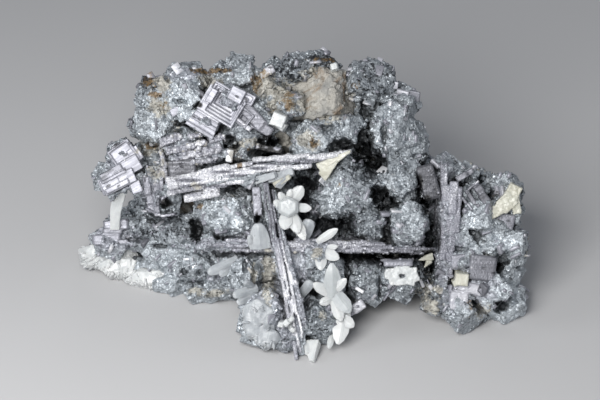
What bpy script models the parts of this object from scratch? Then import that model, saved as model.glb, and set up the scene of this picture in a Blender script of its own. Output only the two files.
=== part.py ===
"""Skeletal galena: ribbed galena crystals and sugary lumps on host rock, set with calcite crystals.

The specimen is laid out on its display side, a slope that leans back. A place on it is given in
millimetres as (across, up, out): to the right, up the slope, and out of it. Lumps round the back are
given in plan.
"""

import itertools
import math
import random

import bmesh
import bpy
from mathutils import Euler, Matrix, Vector

MM = 0.001

# Seeds that keep each set of lumps the same every time.
ROOT_SEED = 300
BACK_SEED = 400
HOST_SEED = 500
HOST_FACE_SEED = 600
CRUST_SEED = 700

# Driving dimensions, in millimetres and degrees.
DISPLAY_LEAN = 35.0  # how far the display side leans back from upright
DISPLAY_HEIGHT = 44.5  # the display side's zero point above the floor
DISPLAY_SET_BACK = -16.65  # the display side's zero point along Y, which centres the cluster on the origin
FLOOR_BLOCK = (400.0, 400.0, 60.0)  # the block that cuts the underside flat
SOCKET_GAP = 0.35  # clear gap between two minerals that touch
BIG_BLUNT = 0.45  # how far a big galena lump's corners are cut, from 0 for a cuboctahedron to 1 for a cube
SMALL_BLUNT = 0.0  # the same for the small lumps
BIG_LEAST = 9.5  # smallest radius of a big lump
HOST_BLUNT = 0.62  # the same for the blocks of host rock
CORNER_REACH = 0.82  # brings a lump's corners onto its radii
HOPPER_STEP = 0.13  # width of a hopper's step, as a share of the crystal's face
HOPPER_FALL = 0.8  # its depth, as a share of that width
CRYSTAL_RINGS = ((0.0, 0.72, 0.0), (0.45, 1.0, 0.0), (0.80, 0.88, 0.06))  # height, width, stagger

LEAN = math.radians(DISPLAY_LEAN)
FLAT = math.radians(2)  # faces this close to one plane are one face
RIGHT = Vector((1, 0, 0))
UP = Vector((0, math.sin(LEAN), math.cos(LEAN)))
OUT = Vector((0, -math.cos(LEAN), math.sin(LEAN)))
ZERO = Vector((0, DISPLAY_SET_BACK, DISPLAY_HEIGHT))
DISPLAY = Matrix.Translation(ZERO) @ Matrix((RIGHT, UP, OUT)).transposed().to_4x4()
PLAN = Matrix.Translation((0, DISPLAY_SET_BACK, 0))

# Lumps of granular galena: across, up, foremost point out, then the three radii.
UPPER_LEFT_LUMPS = [
    (-39.5, 33.5, -8, 8, 8, 8),
    (-39, 41.5, -13, 8, 5, 8),
    (-49, 35.5, -13, 6, 7, 7),
    (-48, 27, -11, 7.5, 7, 8),
    (-39, 20.5, -9, 7, 5, 7),
    (-22, 42, -13, 9, 6, 8),
    (-22, 31, -14, 11, 9, 8),
    (-14, 26.5, -9, 7, 6.5, 7),
    (-17, 18.5, -8, 6.5, 5, 7),
    (-33, 14.5, -11, 10, 6, 8),
    (-50, 14, -16, 6, 4.5, 6),
    (-48, 7.5, -15, 5, 5, 6),
    (-53.5, 4.5, -14, 4.5, 4, 5),
]
CROWN_LUMPS = [
    (2, 43.5, -14, 13, 6.5, 9),
    (24, 40, -12, 9, 8.5, 9),
    (34.5, 34, -15, 4.5, 5, 6),
    (31, 22.5, -8, 9.5, 9.5, 9),
    (38.5, 19, -13, 5.5, 8, 7),
    (11, 22.5, -7, 10, 5.5, 7),
    (3.5, 19, -6, 5.5, 4.5, 6),
    (-10.5, 37.5, -13, 6, 4.5, 6),
    (-4, 31.5, -10, 5, 5, 6),
]
HEART_LUMPS = [
    (15.5, 3.5, -6, 12, 10.5, 10),
    (33, 8, -8, 8, 10.5, 9),
    (35, -8.5, -5, 9, 7.5, 8),
    (23, -6.5, -9, 6.5, 7, 7),
    (22.5, -26, -8, 8, 9, 8),
    (35.5, -26.5, -8, 7.5, 7.5, 8),
    (44, -29.5, -14, 4.5, 6, 6),
]
RIGHT_WING_LUMPS = [
    (48.5, 10.5, -13, 4.8, 5, 6),
    (69, 3, -12, 6.5, 5, 7),
    (60, -6, -9, 7, 5, 7),
    (66, -9.5, -9, 6.5, 4.5, 7),
    (67, -16.5, -9, 8.5, 4.8, 7),
    (70, -25, -12, 5.5, 4.5, 6),
    (69, -35.5, -14, 8, 6.5, 7),
    (61, -38, -16, 5, 4, 5),
]
LEFT_WING_LUMPS = [
    (-30, 3, -12, 10, 5, 7),
    (-24, -5, -7, 11, 9, 9),
    (-50, -10, -26, 8, 6.5, 8),
    (-38.5, -11.5, -19, 8, 7, 8),
    (-66, -20, -38, 11, 5, 7),
    (-52, -24, -32, 10, 5.5, 7),
    (-36, -21.5, -20, 9, 5, 7),
    (-43, -28.5, -27, 9, 4, 6),
    (-29, -30, -21, 10, 5.5, 7),
    (-18, -25, -9, 7, 6, 8),
]
NOSE_LUMPS = [
    (-11.5, -39.5, 0, 8.5, 9.5, 9),
    (8, -41, -1, 7, 8.5, 8),
    (-4, -46.5, 1, 6, 5, 6),
    (9.5, -25, -6, 8, 9, 8),
    (-2, -22, -5, 7, 8, 7),
]
# Solid galena behind the lumps, which they all grow from, given the same way.
ROOT_MASSES = [
    (6, -2, -15, 37, 22, 12),
    (-4, 27, -18, 38, 16, 12),
    (-36, -16, -24, 22, 11, 10),
    (-60, -19.5, -41, 14, 5.5, 7),
    (58, -12, -15, 17, 23, 10),
    (-2, -38, -8, 13, 12, 10),
    (-48, 9, -18, 11, 8, 9),
    (-14, -24, -12, 15, 10, 10),
    (62, -29, -16, 13, 10, 9),
]
# Galena lumps round the back, in plan: x, y, height of the centre, then the three radii.
BACK_LUMPS = [
    (-40, 28, 44, 9, 9, 10),
    (-38, 40, 34, 11, 10, 11),
    (30, 32, 48, 10, 10, 10),
    (28, 40, 34, 12, 14, 12),
    (40, 36, 24, 12, 12, 12),
    (56, 26, 22, 10, 8, 9),
    (67, 20, 12, 8, 8, 9),
    (-58, 30, 8, 9, 7, 8),
    (-4, 46, 60, 10, 9, 8),
    (-47, 34, 12, 11, 10, 13),
]
# Rails of the skeletal blades: start and end as (across, up, out), both thicknesses, depth into the slope.
BLADE_RAILS = [
    # the upper blade, with its bright front rails
    ((-45.5, 3.5, -5), (17.5, 16, -6), 3.0, 0.8, 18),
    ((-31.7, 6.3, -2.4), (-12.7, 10, -2.6), 3.6, 2.4, 6),
    ((-12.7, 10.7, -2.8), (5, 14, -4), 2.6, 1.8, 6),
    ((-39, 0.7, -4), (-29, 3.3, -4), 2.8, 2.8, 8),
    # the upright blade, down to the nose
    ((-14.3, 11, -7), (0.7, -52, -1), 2.2, 2.2, 18),
    ((-8.7, 3.3, -5), (1.7, -48.3, 0.5), 1.1, 1.1, 8),
    ((-4.7, -15, -2.5), (2.3, -43.3, 0.5), 1.4, 1.4, 8),
    # the long level blade
    ((-35, -15.3, -9), (46.7, -17.3, -9), 2.6, 2.0, 18),
    ((-33.3, -14.3, -6.5), (2, -15.8, -6), 1.5, 1.5, 8),
    ((-1.6, -15.1, -5.3), (28.3, -15.7, -7), 3.2, 2.8, 6),
    # the right upright blade
    ((48.7, 13.3, -12), (46, -37.3, -9), 2.6, 2.6, 20),
    ((50.5, 5, -10), (49, -16.7, -9.5), 5.5, 5.5, 10),
    ((48.7, -20.7, -8), (47, -35, -8), 3.5, 3.5, 8),
    # the left upright plate
    ((-49.3, 10, -12), (-47, -4, -13), 5.0, 5.0, 6),
    # ledges above the upper blade
    ((-45.7, 16.7, -9), (-26, 19, -9), 2.0, 2.0, 8),
    ((-44, 13.3, -8), (-24, 16, -8), 2.6, 2.6, 8),
]
# Cubic crystals: centre across and up, front face out, width, height, depth, roll, hopper steps.
CUBES = [
    (-26, 32.3, -6, 13, 11, 10, -31, 2),
    (-32.3, 26, -7, 10, 5.5, 9, -30, 1),
    (-21.3, 35.3, -4.5, 4.8, 4.8, 6, -27, 0),
    (-20, 26, -8, 7, 6, 6, -35, 0),
    (-14, 28.3, -8, 7, 6, 6, -42, 0),
    (-60, 15, -13, 8, 7.5, 9, 35, 1),
    (-62, 6.3, -12, 9.5, 8, 9, 27, 1),
    (-63, -14.7, -33.2, 12, 5.3, 9, 1, 0),
    (-61.4, -9.8, -32.3, 10, 5.2, 9, 5, 1),
    (-39, 9.5, -12, 11, 4.5, 6, 8, 0),
    (57, 8.3, -13, 6, 3.2, 8, 28, 0),
    (58.7, 2.5, -11, 7.5, 8, 8, -40, 1),
    (71.3, -5, -12, 6.5, 6, 5, -12, 0),
    (60.7, -24, -7, 9.5, 9, 9, -8, 0),
    (54, -20.7, -8, 5, 5.5, 6, 0, 0),
    (60, -31, -7, 11, 5, 7, -15, 1),
    (53.5, -35, -8, 8, 9, 5, -6, 1),
]
# Blocks of host rock behind the galena: plan x and y, height of the centre, then the three radii.
HOST_BLOCKS = [
    (-6, 34, 17, 34, 20, 19),
    (-26, 36, 34, 18, 14, 16),
    (-2, 44, 42, 20, 15, 17),
    (20, 36, 36, 16, 14, 16),
    (18, 44, 12, 20, 14, 13),
    (-18, 48, 16, 19, 13, 17),
    (44, 26, 12, 18, 12, 14),
    (-40, 30, 10, 16, 12, 12),
]
# Host rock that shows on the display side, given as the lumps are.
HOST_FACES = [
    (8, 34, -9, 14.5, 11, 18),
]
# Calcite crystals by cluster: root and tip as (across, up, out), and radius.
CALCITES = {
    "calcite_hanging_blade": [
        ((-60, 4.5, -20), (-64.5, -5.5, -26), 2.4),
        ((-63, -2.5, -24.5), (-66.8, -12, -31), 2.0),
    ],
    "calcite_spray_centre": [
        ((-4, -6, -8), (-4, -4, 3), 3.2),
        ((-3, -3, -6), (2.5, 4.5, -1), 2.3),
        ((-3, -4, -6), (6, -4.5, -2), 1.7),
        ((-4, -8, -8), (-0.5, -13, -1), 2.2),
        ((-1.5, -7.5, -9), (6.5, -9, -5), 2.6),
    ],
    "calcite_spray_lower": [
        ((8.5, -17, -9), (15.5, -10, -4), 1.7),
        ((9.5, -18, -8), (16, -21.5, -3), 1.9),
        ((9, -18, -8), (8.5, -26, -2.5), 1.7),
    ],
    "calcite_spire": [
        ((12.5, -36, -8), (12.5, -20.5, -1), 2.8),
        ((13, -31, -8), (6.5, -31, -3), 1.9),
        ((13, -32, -8), (18, -25.5, -3), 1.6),
        ((13, -32, -8), (19, -34.5, -3), 1.9),
    ],
    "calcite_rim_spikes": [
        ((10, -41, -7), (17, -40, -3), 1.7),
        ((10, -43, -7), (16, -46.5, -3), 1.6),
        ((10, -43, -6), (11, -48.5, -1.5), 1.4),
    ],
    "calcite_foot": [
        ((3.4, -42.5, -4), (4.4, -51.5, 0.5), 2.4),
    ],
    "calcite_nose_knob": [
        ((-5, -41, -4), (-6.2, -41.5, 2.6), 2.2),
    ],
    "calcite_leaf": [
        ((-20.5, -20.5, -12), (-31.5, -24.8, -11), 1.9),
    ],
    "calcite_pale_pair": [
        ((-11.5, -28.5, -8), (-21.5, -32.5, -4), 2.1),
        ((-13, -30, -8), (-16, -26.5, -2), 1.9),
    ],
    "calcite_tent": [
        ((-14, -17.2, -8), (-14.8, -8.3, -3.5), 3.0),
    ],
    "calcite_wedge_upper": [
        ((-6.5, 26.5, -16), (-7.7, 28.2, -6.5), 3.0),
    ],
    "calcite_wedge_blade": [
        ((8.2, 9.5, -9), (17.6, 15.3, -4.6), 2.6),
    ],
    "calcite_under_blade": [
        ((-15.6, 4.2, -6), (-5, 6, -2.6), 1.9),
    ],
    "calcite_right_edge": [
        ((64, -2.5, -14), (73.5, 3, -9.5), 2.8),
        ((72, 2, -12), (72.6, -6, -10), 2.1),
    ],
    "calcite_cream_box": [
        ((54.4, -26.4, -12), (54.4, -26.4, -5.4), 3.3),
    ],
    "calcite_cream_patch": [
        ((36.2, -23.2, -12), (36.6, -23.6, -7.0), 3.5),
    ],
    "calcite_cream_wedge": [
        ((44.2, -19.6, -11), (39.8, -19.6, -7.6), 1.3),
    ],
    "calcite_crown": [
        ((11.4, 41.5, -14), (12.3, 46.2, -10), 1.5),
    ],
}
# Crusts of small calcite on the galena, as flat lumps.
CALCITE_CRUSTS = {
    "calcite_crust_left": [
        (-71, -19.5, -36.8, 7, 4.5, 3.4),
        (-62, -23, -34.5, 8.5, 4.6, 3.4),
        (-52, -27, -31, 8, 3.8, 3.2),
        (-63, -18, -34.8, 7, 3.4, 3.2),
    ],
    "calcite_crust_nose": [
        (-14, -40, 0.9, 6.4, 7.2, 3),
        (-11, -46, 1.2, 5, 4, 3),
    ],
}


def remove_old_objects():
    for old in list(bpy.data.objects):
        bpy.data.objects.remove(old)


def material(name, colour, roughness, metallic):
    made = bpy.data.materials.new(name)
    made.use_nodes = True
    shader = made.node_tree.nodes["Principled BSDF"]
    shader.inputs["Base Color"].default_value = (*colour, 1)
    shader.inputs["Roughness"].default_value = roughness
    shader.inputs["Metallic"].default_value = metallic
    return made


def new_object(name, mesh_tool, place):
    """A linked object from a bmesh in millimetres, moved to its place and turned into metres."""
    mesh_tool.transform(Matrix.Scale(MM, 4) @ place)
    bmesh.ops.recalc_face_normals(mesh_tool, faces=mesh_tool.faces)
    bmesh.ops.triangulate(mesh_tool, faces=mesh_tool.faces)
    mesh = bpy.data.meshes.new(name)
    mesh_tool.to_mesh(mesh)
    mesh_tool.free()
    made = bpy.data.objects.new(name, mesh)
    bpy.context.scene.collection.objects.link(made)
    return made


def lump(name, frame, centre, radii, blunt, seed, grow=0.0):
    """A convex lump: a cube with cut corners, turned by its seed and stretched to the radii."""
    chance = random.Random(seed)
    turn = Euler([chance.uniform(0, math.tau) for _ in range(3)]).to_matrix()
    tool = bmesh.new()
    corners = {
        tuple(s * (blunt if i == short else 1.0) + 0.0 for i, s in enumerate(signs))
        for signs in itertools.product((-1, 1), repeat=3)
        for short in range(3)
    }
    for corner in sorted(corners):
        way = turn @ Vector(corner) * chance.uniform(0.88, 1.0) * CORNER_REACH
        tool.verts.new([w * (r + grow) for w, r in zip(way, radii)])
    hull = bmesh.ops.convex_hull(tool, input=tool.verts)
    unused = [v for v in hull["geom_interior"] if isinstance(v, bmesh.types.BMVert)]
    bmesh.ops.delete(tool, geom=unused, context="VERTS")
    return new_object(name, tool, frame @ Matrix.Translation(centre))


def display_lump(name, row, seed, grow=0.0):
    """A lump laid on the display side; the big ones are blunt cubes, the small ones cuboctahedra."""
    across, up, front, *radii = row
    blunt = BIG_BLUNT if min(radii) >= BIG_LEAST else SMALL_BLUNT
    return lump(name, DISPLAY, (across, up, front - radii[2]), radii, blunt, seed, grow)


def rail(name, start, end, thick_start, thick_end, depth):
    """A straight rail of a blade, from start to end, its front edge at their out values."""
    tool = bmesh.new()
    start, end = Vector(start), Vector(end)
    along = end - start
    side = Vector((-along.y, along.x, 0)).normalized()
    corners = []
    for point, thick in ((start, thick_start), (end, thick_end)):
        for across in (-thick / 2, thick / 2):
            for back in (0, -depth):
                corners.append(tool.verts.new(point + side * across + Vector((0, 0, back))))
    bmesh.ops.convex_hull(tool, input=corners)
    return new_object(name, tool, DISPLAY)


def cube(name, across, up, front, width, height, depth, roll, steps):
    """A cubic crystal; hopper steps sink its front and top faces as nested squares."""
    tool = bmesh.new()
    bmesh.ops.create_cube(tool, size=1)
    bmesh.ops.scale(tool, vec=(width, height, depth), verts=tool.verts)
    step_width = min(width, height) * HOPPER_STEP
    sunk = [f for f in tool.faces if f.normal.z > 0.9 or f.normal.y > 0.9] if steps else []
    for face in sunk:
        for _ in range(steps):
            bmesh.ops.inset_region(tool, faces=[face], thickness=step_width)
            down = -face.normal * step_width * HOPPER_FALL
            raised = bmesh.ops.extrude_discrete_faces(tool, faces=[face])["faces"][0]
            bmesh.ops.translate(tool, vec=down, verts=raised.verts)
            face = raised
    turn = Matrix.Rotation(math.radians(roll), 4, "Z")
    return new_object(name, tool, DISPLAY @ Matrix.Translation((across, up, front - depth / 2)) @ turn)


def crystal(name, root, tip, radius, grow=0.0):
    """A six-sided calcite crystal: a prism that swells to its shoulder, under three blunt rhomb faces."""
    root, tip = Vector(root), Vector(tip)
    along = (tip - root).normalized()
    root = root - along * grow
    length = (tip - root).length + grow
    tool = bmesh.new()
    rings = []
    for share, width, stagger in CRYSTAL_RINGS:
        ring = []
        for side in range(6):
            angle = math.tau * side / 6
            reach = radius * width + grow
            height = length * (share + (stagger if side % 2 else -stagger))
            ring.append(tool.verts.new((reach * math.cos(angle), reach * math.sin(angle), height)))
        rings.append(ring)
    apex = tool.verts.new((0, 0, length))
    tool.faces.new(rings[0])
    for low, high in zip(rings, rings[1:]):
        for side in range(6):
            after = (side + 1) % 6
            tool.faces.new((low[side], low[after], high[after], high[side]))
    for side in range(6):
        tool.faces.new((rings[-1][side], rings[-1][(side + 1) % 6], apex))
    place = Matrix.Translation(root) @ along.to_track_quat("Z", "Y").to_matrix().to_4x4()
    return new_object(name, tool, DISPLAY @ place)


def boolean(target, others, operation):
    """Joins or cuts target with each of the others in turn. So many lumps need the MANIFOLD solver."""
    bpy.context.view_layer.objects.active = target
    for other in others:
        modifier = target.modifiers.new(operation, "BOOLEAN")
        modifier.operation = operation
        modifier.solver = "MANIFOLD"
        modifier.object = other
        bpy.ops.object.modifier_apply(modifier=modifier.name)
        bpy.data.objects.remove(other)
    return target


def keep_main_body(target):
    """Drops chips that a cut left loose and closed hollows inside, so that one body stays."""
    tool = bmesh.new()
    tool.from_mesh(target.data)
    bodies, seen = [], set()
    for vert in tool.verts:
        if vert in seen:
            continue
        body, waiting = [], [vert]
        seen.add(vert)
        while waiting:
            here = waiting.pop()
            body.append(here)
            for link in here.link_edges:
                other = link.other_vert(here)
                if other not in seen:
                    seen.add(other)
                    waiting.append(other)
        bodies.append(body)
    bodies.sort(key=len, reverse=True)
    for body in bodies[1:]:
        bmesh.ops.delete(tool, geom=body, context="VERTS")
    bmesh.ops.dissolve_limit(tool, angle_limit=FLAT, verts=tool.verts, edges=tool.edges)
    tool.to_mesh(target.data)
    tool.free()
    print(target.name, "kept", len(bodies[0]), "points, dropped", [len(b) for b in bodies[1:]])


def copied(source):
    made = source.copy()
    made.data = source.data.copy()
    bpy.context.scene.collection.objects.link(made)
    return made


def floor_cutter():
    tool = bmesh.new()
    bmesh.ops.create_cube(tool, size=1)
    bmesh.ops.scale(tool, vec=FLOOR_BLOCK, verts=tool.verts)
    return new_object("floor_cutter", tool, Matrix.Translation((0, 0, -FLOOR_BLOCK[2] / 2)))


def host_pieces(grow=0.0):
    made = []
    for i, (x, y, z, *radii) in enumerate(HOST_BLOCKS):
        made.append(lump(f"host_{i}", PLAN, (x, y, z), radii, HOST_BLUNT, HOST_SEED + i, grow))
    for i, row in enumerate(HOST_FACES):
        made.append(display_lump(f"host_face_{i}", row, HOST_FACE_SEED + i, grow))
    return made


def calcite_pieces(name, grow=0.0):
    """The crystals or flat lumps of one calcite cluster, or its socket when they are grown by the gap."""
    if name in CALCITES:
        return [crystal(name, *row, grow=grow) for row in CALCITES[name]]
    return [display_lump(name, row, CRUST_SEED + i, grow) for i, row in enumerate(CALCITE_CRUSTS[name])]


def galena_pieces():
    made = []
    lumps = UPPER_LEFT_LUMPS + CROWN_LUMPS + HEART_LUMPS
    lumps += RIGHT_WING_LUMPS + LEFT_WING_LUMPS + NOSE_LUMPS
    for i, (across, up, front, *radii) in enumerate(ROOT_MASSES):
        centre = (across, up, front - radii[2])
        made.append(lump(f"root_{i}", DISPLAY, centre, radii, SMALL_BLUNT, ROOT_SEED + i))
    for i, row in enumerate(lumps):
        made.append(display_lump(f"lump_{i}", row, i))
    for i, (x, y, z, *radii) in enumerate(BACK_LUMPS):
        made.append(lump(f"back_{i}", PLAN, (x, y, z), radii, BIG_BLUNT, BACK_SEED + i))
    made += [rail(f"rail_{i}", *row) for i, row in enumerate(BLADE_RAILS)]
    made += [cube(f"cube_{i}", *row) for i, row in enumerate(CUBES)]
    return made


def finished(name, pieces, cutters, finish):
    """One node: the pieces joined, cut, kept as one body, and given their finish."""
    whole = boolean(pieces[0], pieces[1:], "UNION")
    boolean(whole, cutters, "DIFFERENCE")
    keep_main_body(whole)
    whole.name = name
    whole.data.materials.clear()
    whole.data.materials.append(finish)
    return whole


def main():
    remove_old_objects()
    galena_finish = material("galena", (0.42, 0.44, 0.48), 0.4, 0.9)
    host_finish = material("host_rock", (0.42, 0.37, 0.29), 0.85, 0.0)
    calcite_finish = material("calcite", (0.85, 0.86, 0.84), 0.35, 0.0)

    clusters = [*CALCITES, *CALCITE_CRUSTS]
    for name in clusters:
        finished(name, calcite_pieces(name), [floor_cutter()], calcite_finish)
    sockets = [piece for name in clusters for piece in calcite_pieces(name, SOCKET_GAP)]
    host_cutters = [floor_cutter()] + [copied(socket) for socket in sockets]
    finished("host_rock", host_pieces(), host_cutters, host_finish)
    galena_cutters = [floor_cutter()] + host_pieces(SOCKET_GAP) + sockets
    finished("galena_cluster", galena_pieces(), galena_cutters, galena_finish)


main()
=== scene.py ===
# %% [markdown]
# # Skeletal galena on host rock, with calcite
#
# The specimen is a crust of galena, a silver-grey lead ore, that grew on a lump of brown rock.
# Part of the galena grew as thin ribbed blades and stepped cubes, which is why it is called skeletal.
# The rest is sugary: lumps built of crystals about a millimetre across. White calcite sits on top.
#
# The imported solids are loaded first. They fix where everything is, and nothing below moves them.

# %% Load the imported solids
import math

import bpy
import numpy as np
from mathutils import Euler, Matrix, Vector
from mathutils.bvhtree import BVHTree
from mathutils.kdtree import KDTree
from mathutils.noise import noise


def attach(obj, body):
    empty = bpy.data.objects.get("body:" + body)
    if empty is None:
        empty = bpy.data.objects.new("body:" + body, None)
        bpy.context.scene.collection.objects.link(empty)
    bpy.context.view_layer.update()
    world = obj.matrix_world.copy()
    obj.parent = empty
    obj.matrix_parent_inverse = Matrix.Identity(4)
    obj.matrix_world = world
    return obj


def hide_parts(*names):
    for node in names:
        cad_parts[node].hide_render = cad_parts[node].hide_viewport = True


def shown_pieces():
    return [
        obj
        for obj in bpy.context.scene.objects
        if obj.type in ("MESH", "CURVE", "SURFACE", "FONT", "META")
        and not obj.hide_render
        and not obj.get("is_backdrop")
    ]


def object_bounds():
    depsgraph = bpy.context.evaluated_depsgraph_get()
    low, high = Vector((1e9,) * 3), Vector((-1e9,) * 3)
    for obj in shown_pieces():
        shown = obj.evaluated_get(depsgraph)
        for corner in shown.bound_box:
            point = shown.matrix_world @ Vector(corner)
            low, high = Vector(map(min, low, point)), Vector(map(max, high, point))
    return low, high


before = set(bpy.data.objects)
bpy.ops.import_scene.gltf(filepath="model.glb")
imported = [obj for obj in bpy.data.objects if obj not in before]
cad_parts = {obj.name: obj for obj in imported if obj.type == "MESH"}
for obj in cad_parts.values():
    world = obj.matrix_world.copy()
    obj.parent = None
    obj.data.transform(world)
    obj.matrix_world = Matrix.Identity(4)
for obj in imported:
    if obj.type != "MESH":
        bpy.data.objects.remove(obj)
solid_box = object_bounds()
print("solids:", len(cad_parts), "nodes, box", [round(side, 4) for side in solid_box[1] - solid_box[0]])

# %% [markdown]
# ## Where things are
#
# The side that the specimen is shown from is a slope that leans back by 35 degrees. A place on it is
# easier to think of as millimetres across, up the slope, and out of the slope than as X, Y and Z.
# `place` turns such a place into the frame's metres, and `on_slope` goes the other way.

# %% The display slope
MM = 0.001
LEAN = math.radians(35)  # how far the display side leans back
ZERO = Vector((0, -16.65, 44.5)) * MM  # the slope's zero point
ACROSS = Vector((1, 0, 0))
UP = Vector((0, math.sin(LEAN), math.cos(LEAN)))
OUT = Vector((0, -math.cos(LEAN), math.sin(LEAN)))


def place(across, up, out=0.0):
    """A point of the slope, in metres of the frame."""
    return ZERO + (ACROSS * across + UP * up + OUT * out) * MM


def on_slope(points):
    """Points of the frame, in metres, as rows of across, up and out in millimetres."""
    return (np.asarray(points) - np.array(ZERO)) @ np.array([ACROSS, UP, OUT]).T / MM


print("slope runs up", [round(c, 3) for c in UP], "and faces", [round(c, 3) for c in OUT])

# %% [markdown]
# ## Camera
#
# The specimen stands on a pale sweep and is seen square to its display side, through a long lens so
# that it isn't distorted.

# %% Camera
CAMERA_DISTANCE = 1.0  # metres from the slope's zero point
LENS = 180  # millimetres; with this sensor and distance a millimetre is three pixels
SENSOR = 36

camera_data = bpy.data.cameras.new("camera")
camera_data.lens = LENS
camera_data.sensor_width = SENSOR
camera = bpy.data.objects.new("camera", camera_data)
camera.location = ZERO + OUT * CAMERA_DISTANCE
camera.rotation_euler = (math.pi / 2 - LEAN, 0, 0)
bpy.context.scene.collection.objects.link(camera)
bpy.context.scene.camera = camera
print("camera looks down by", round(math.degrees(LEAN)), "degrees")

# %% [markdown]
# ## Light
#
# The key is a softbox in front at the upper left, near enough for the floor to fall off towards the
# back. Three weak cards and a dim surround keep the other sides from going black. All are square area
# lights turned to the specimen, so one function makes them.

# %% Lights


def softbox(name, spot, side, power, colour):
    """A square area light that faces the specimen."""
    lamp = bpy.data.lights.new(name, "AREA")
    lamp.shape = "SQUARE"
    lamp.size = side
    lamp.energy = power
    lamp.color = colour
    holder = bpy.data.objects.new(name, lamp)
    holder.location = spot
    holder.rotation_euler = (ZERO - Vector(spot)).to_track_quat("-Z", "Y").to_euler()
    bpy.context.scene.collection.objects.link(holder)
    return holder


softbox("key", (-0.13, -0.36, 0.34), 0.27, 2.70, (1.0, 0.99, 0.975))
softbox("left_card", (-0.42, -0.12, 0.26), 0.20, 0.45, (0.95, 0.97, 1.0))
softbox("right_card", (0.44, -0.02, 0.24), 0.25, 0.26, (0.95, 0.97, 1.0))
softbox("back_card", (0.05, 0.46, 0.30), 0.30, 0.20, (0.95, 0.97, 1.0))

SURROUND_COLOUR = (0.75, 0.8, 0.9, 1)
SURROUND_STRENGTH = 0.19

world = bpy.data.worlds.new("surround")
world.use_nodes = True
background = world.node_tree.nodes["Background"]
background.inputs["Color"].default_value = SURROUND_COLOUR
background.inputs["Strength"].default_value = SURROUND_STRENGTH
bpy.context.scene.world = world
bpy.context.scene.view_settings.view_transform = "Standard"

# %% [markdown]
# ## Node helpers
#
# Materials are graphs of nodes. Small helpers keep their cells short: they add a node with its
# settings, make a shader node group with named sockets, start a material, and feed its Principled BSDF.

# %% Node helpers


def add_node(tree, kind, wires=None, **settings):
    """A new node. Each wire is a value for a socket, or another node's output to link it to."""
    made = tree.nodes.new("ShaderNode" + kind)
    for name, value in settings.items():
        setattr(made, name, value)
    for socket, value in (wires or {}).items():
        if isinstance(value, bpy.types.NodeSocket):
            tree.links.new(value, made.inputs[socket])
        else:
            made.inputs[socket].default_value = value
    return made


def math_node(tree, operation, *values):
    """The result of a Math node on the values given."""
    return add_node(tree, "Math", dict(enumerate(values)), operation=operation).outputs[0]


def mixed(tree, share, first, second):
    """Two colours mixed, the second by its share."""
    mix = add_node(tree, "Mix", data_type="RGBA")
    for socket, value in ((mix.inputs[0], share), (mix.inputs[6], first), (mix.inputs[7], second)):
        if isinstance(value, bpy.types.NodeSocket):
            tree.links.new(value, socket)
        else:
            socket.default_value = value
    return mix.outputs[2]


def ramp(tree, value, low, high, to_low=0.0, to_high=1.0):
    """A value stretched from low..high to to_low..to_high, and held at the ends."""
    wires = {"Value": value, "From Min": low, "From Max": high, "To Min": to_low, "To Max": to_high}
    return add_node(tree, "MapRange", wires).outputs["Result"]


def attribute(tree, name):
    """A piece's own attribute, as a number."""
    return add_node(tree, "Attribute", attribute_name=name).outputs["Fac"]


def new_group(name, inputs, outputs):
    """A shader node group with its sockets, and its two end nodes."""
    group = bpy.data.node_groups.new(name, "ShaderNodeTree")
    for title, (kind, value) in inputs.items():
        socket = group.interface.new_socket(title, in_out="INPUT", socket_type="NodeSocket" + kind)
        socket.default_value = value
    for title, kind in outputs.items():
        group.interface.new_socket(title, in_out="OUTPUT", socket_type="NodeSocket" + kind)
    return group, group.nodes.new("NodeGroupInput"), group.nodes.new("NodeGroupOutput")


def use_group(tree, group, wires):
    """The group placed in a material, with its own values."""
    made = tree.nodes.new("ShaderNodeGroup")
    made.node_tree = group
    for socket, value in wires.items():
        if isinstance(value, bpy.types.NodeSocket):
            tree.links.new(value, made.inputs[socket])
        else:
            made.inputs[socket].default_value = value
    return made


def new_material(name, **constants):
    """A material, its node tree and its Principled BSDF. Constants are set on the shader's sockets."""
    made = bpy.data.materials.new(name)
    made.use_nodes = True
    shader = made.node_tree.nodes["Principled BSDF"]
    for socket, value in constants.items():
        shader.inputs[socket.replace("_", " ")].default_value = value
    return made, made.node_tree, shader


def feed(tree, shader, **outputs):
    """Links outputs to the shader's sockets. An underscore in a name stands for a space."""
    for socket, output in outputs.items():
        tree.links.new(output, shader.inputs[socket.replace("_", " ")])


def object_place(tree):
    """Object coordinates, which keep a pattern fixed to the piece."""
    return add_node(tree, "TexCoord").outputs["Object"]


print("node helpers ready")

# %% [markdown]
# ## Patterns that several finishes share
#
# Three effects turn up again and again on this specimen. *Grain* is a mosaic of tiny cells, each a
# little lighter or darker than the next. *Streaks* are fine lines that follow a blade or a crystal.
# *Ragged* takes a soft mask, such as where a stain lies, and gives it a torn mineral edge. Each is a
# node group, built once and placed in each material with its own sizes.

# %% Shared node groups


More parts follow.
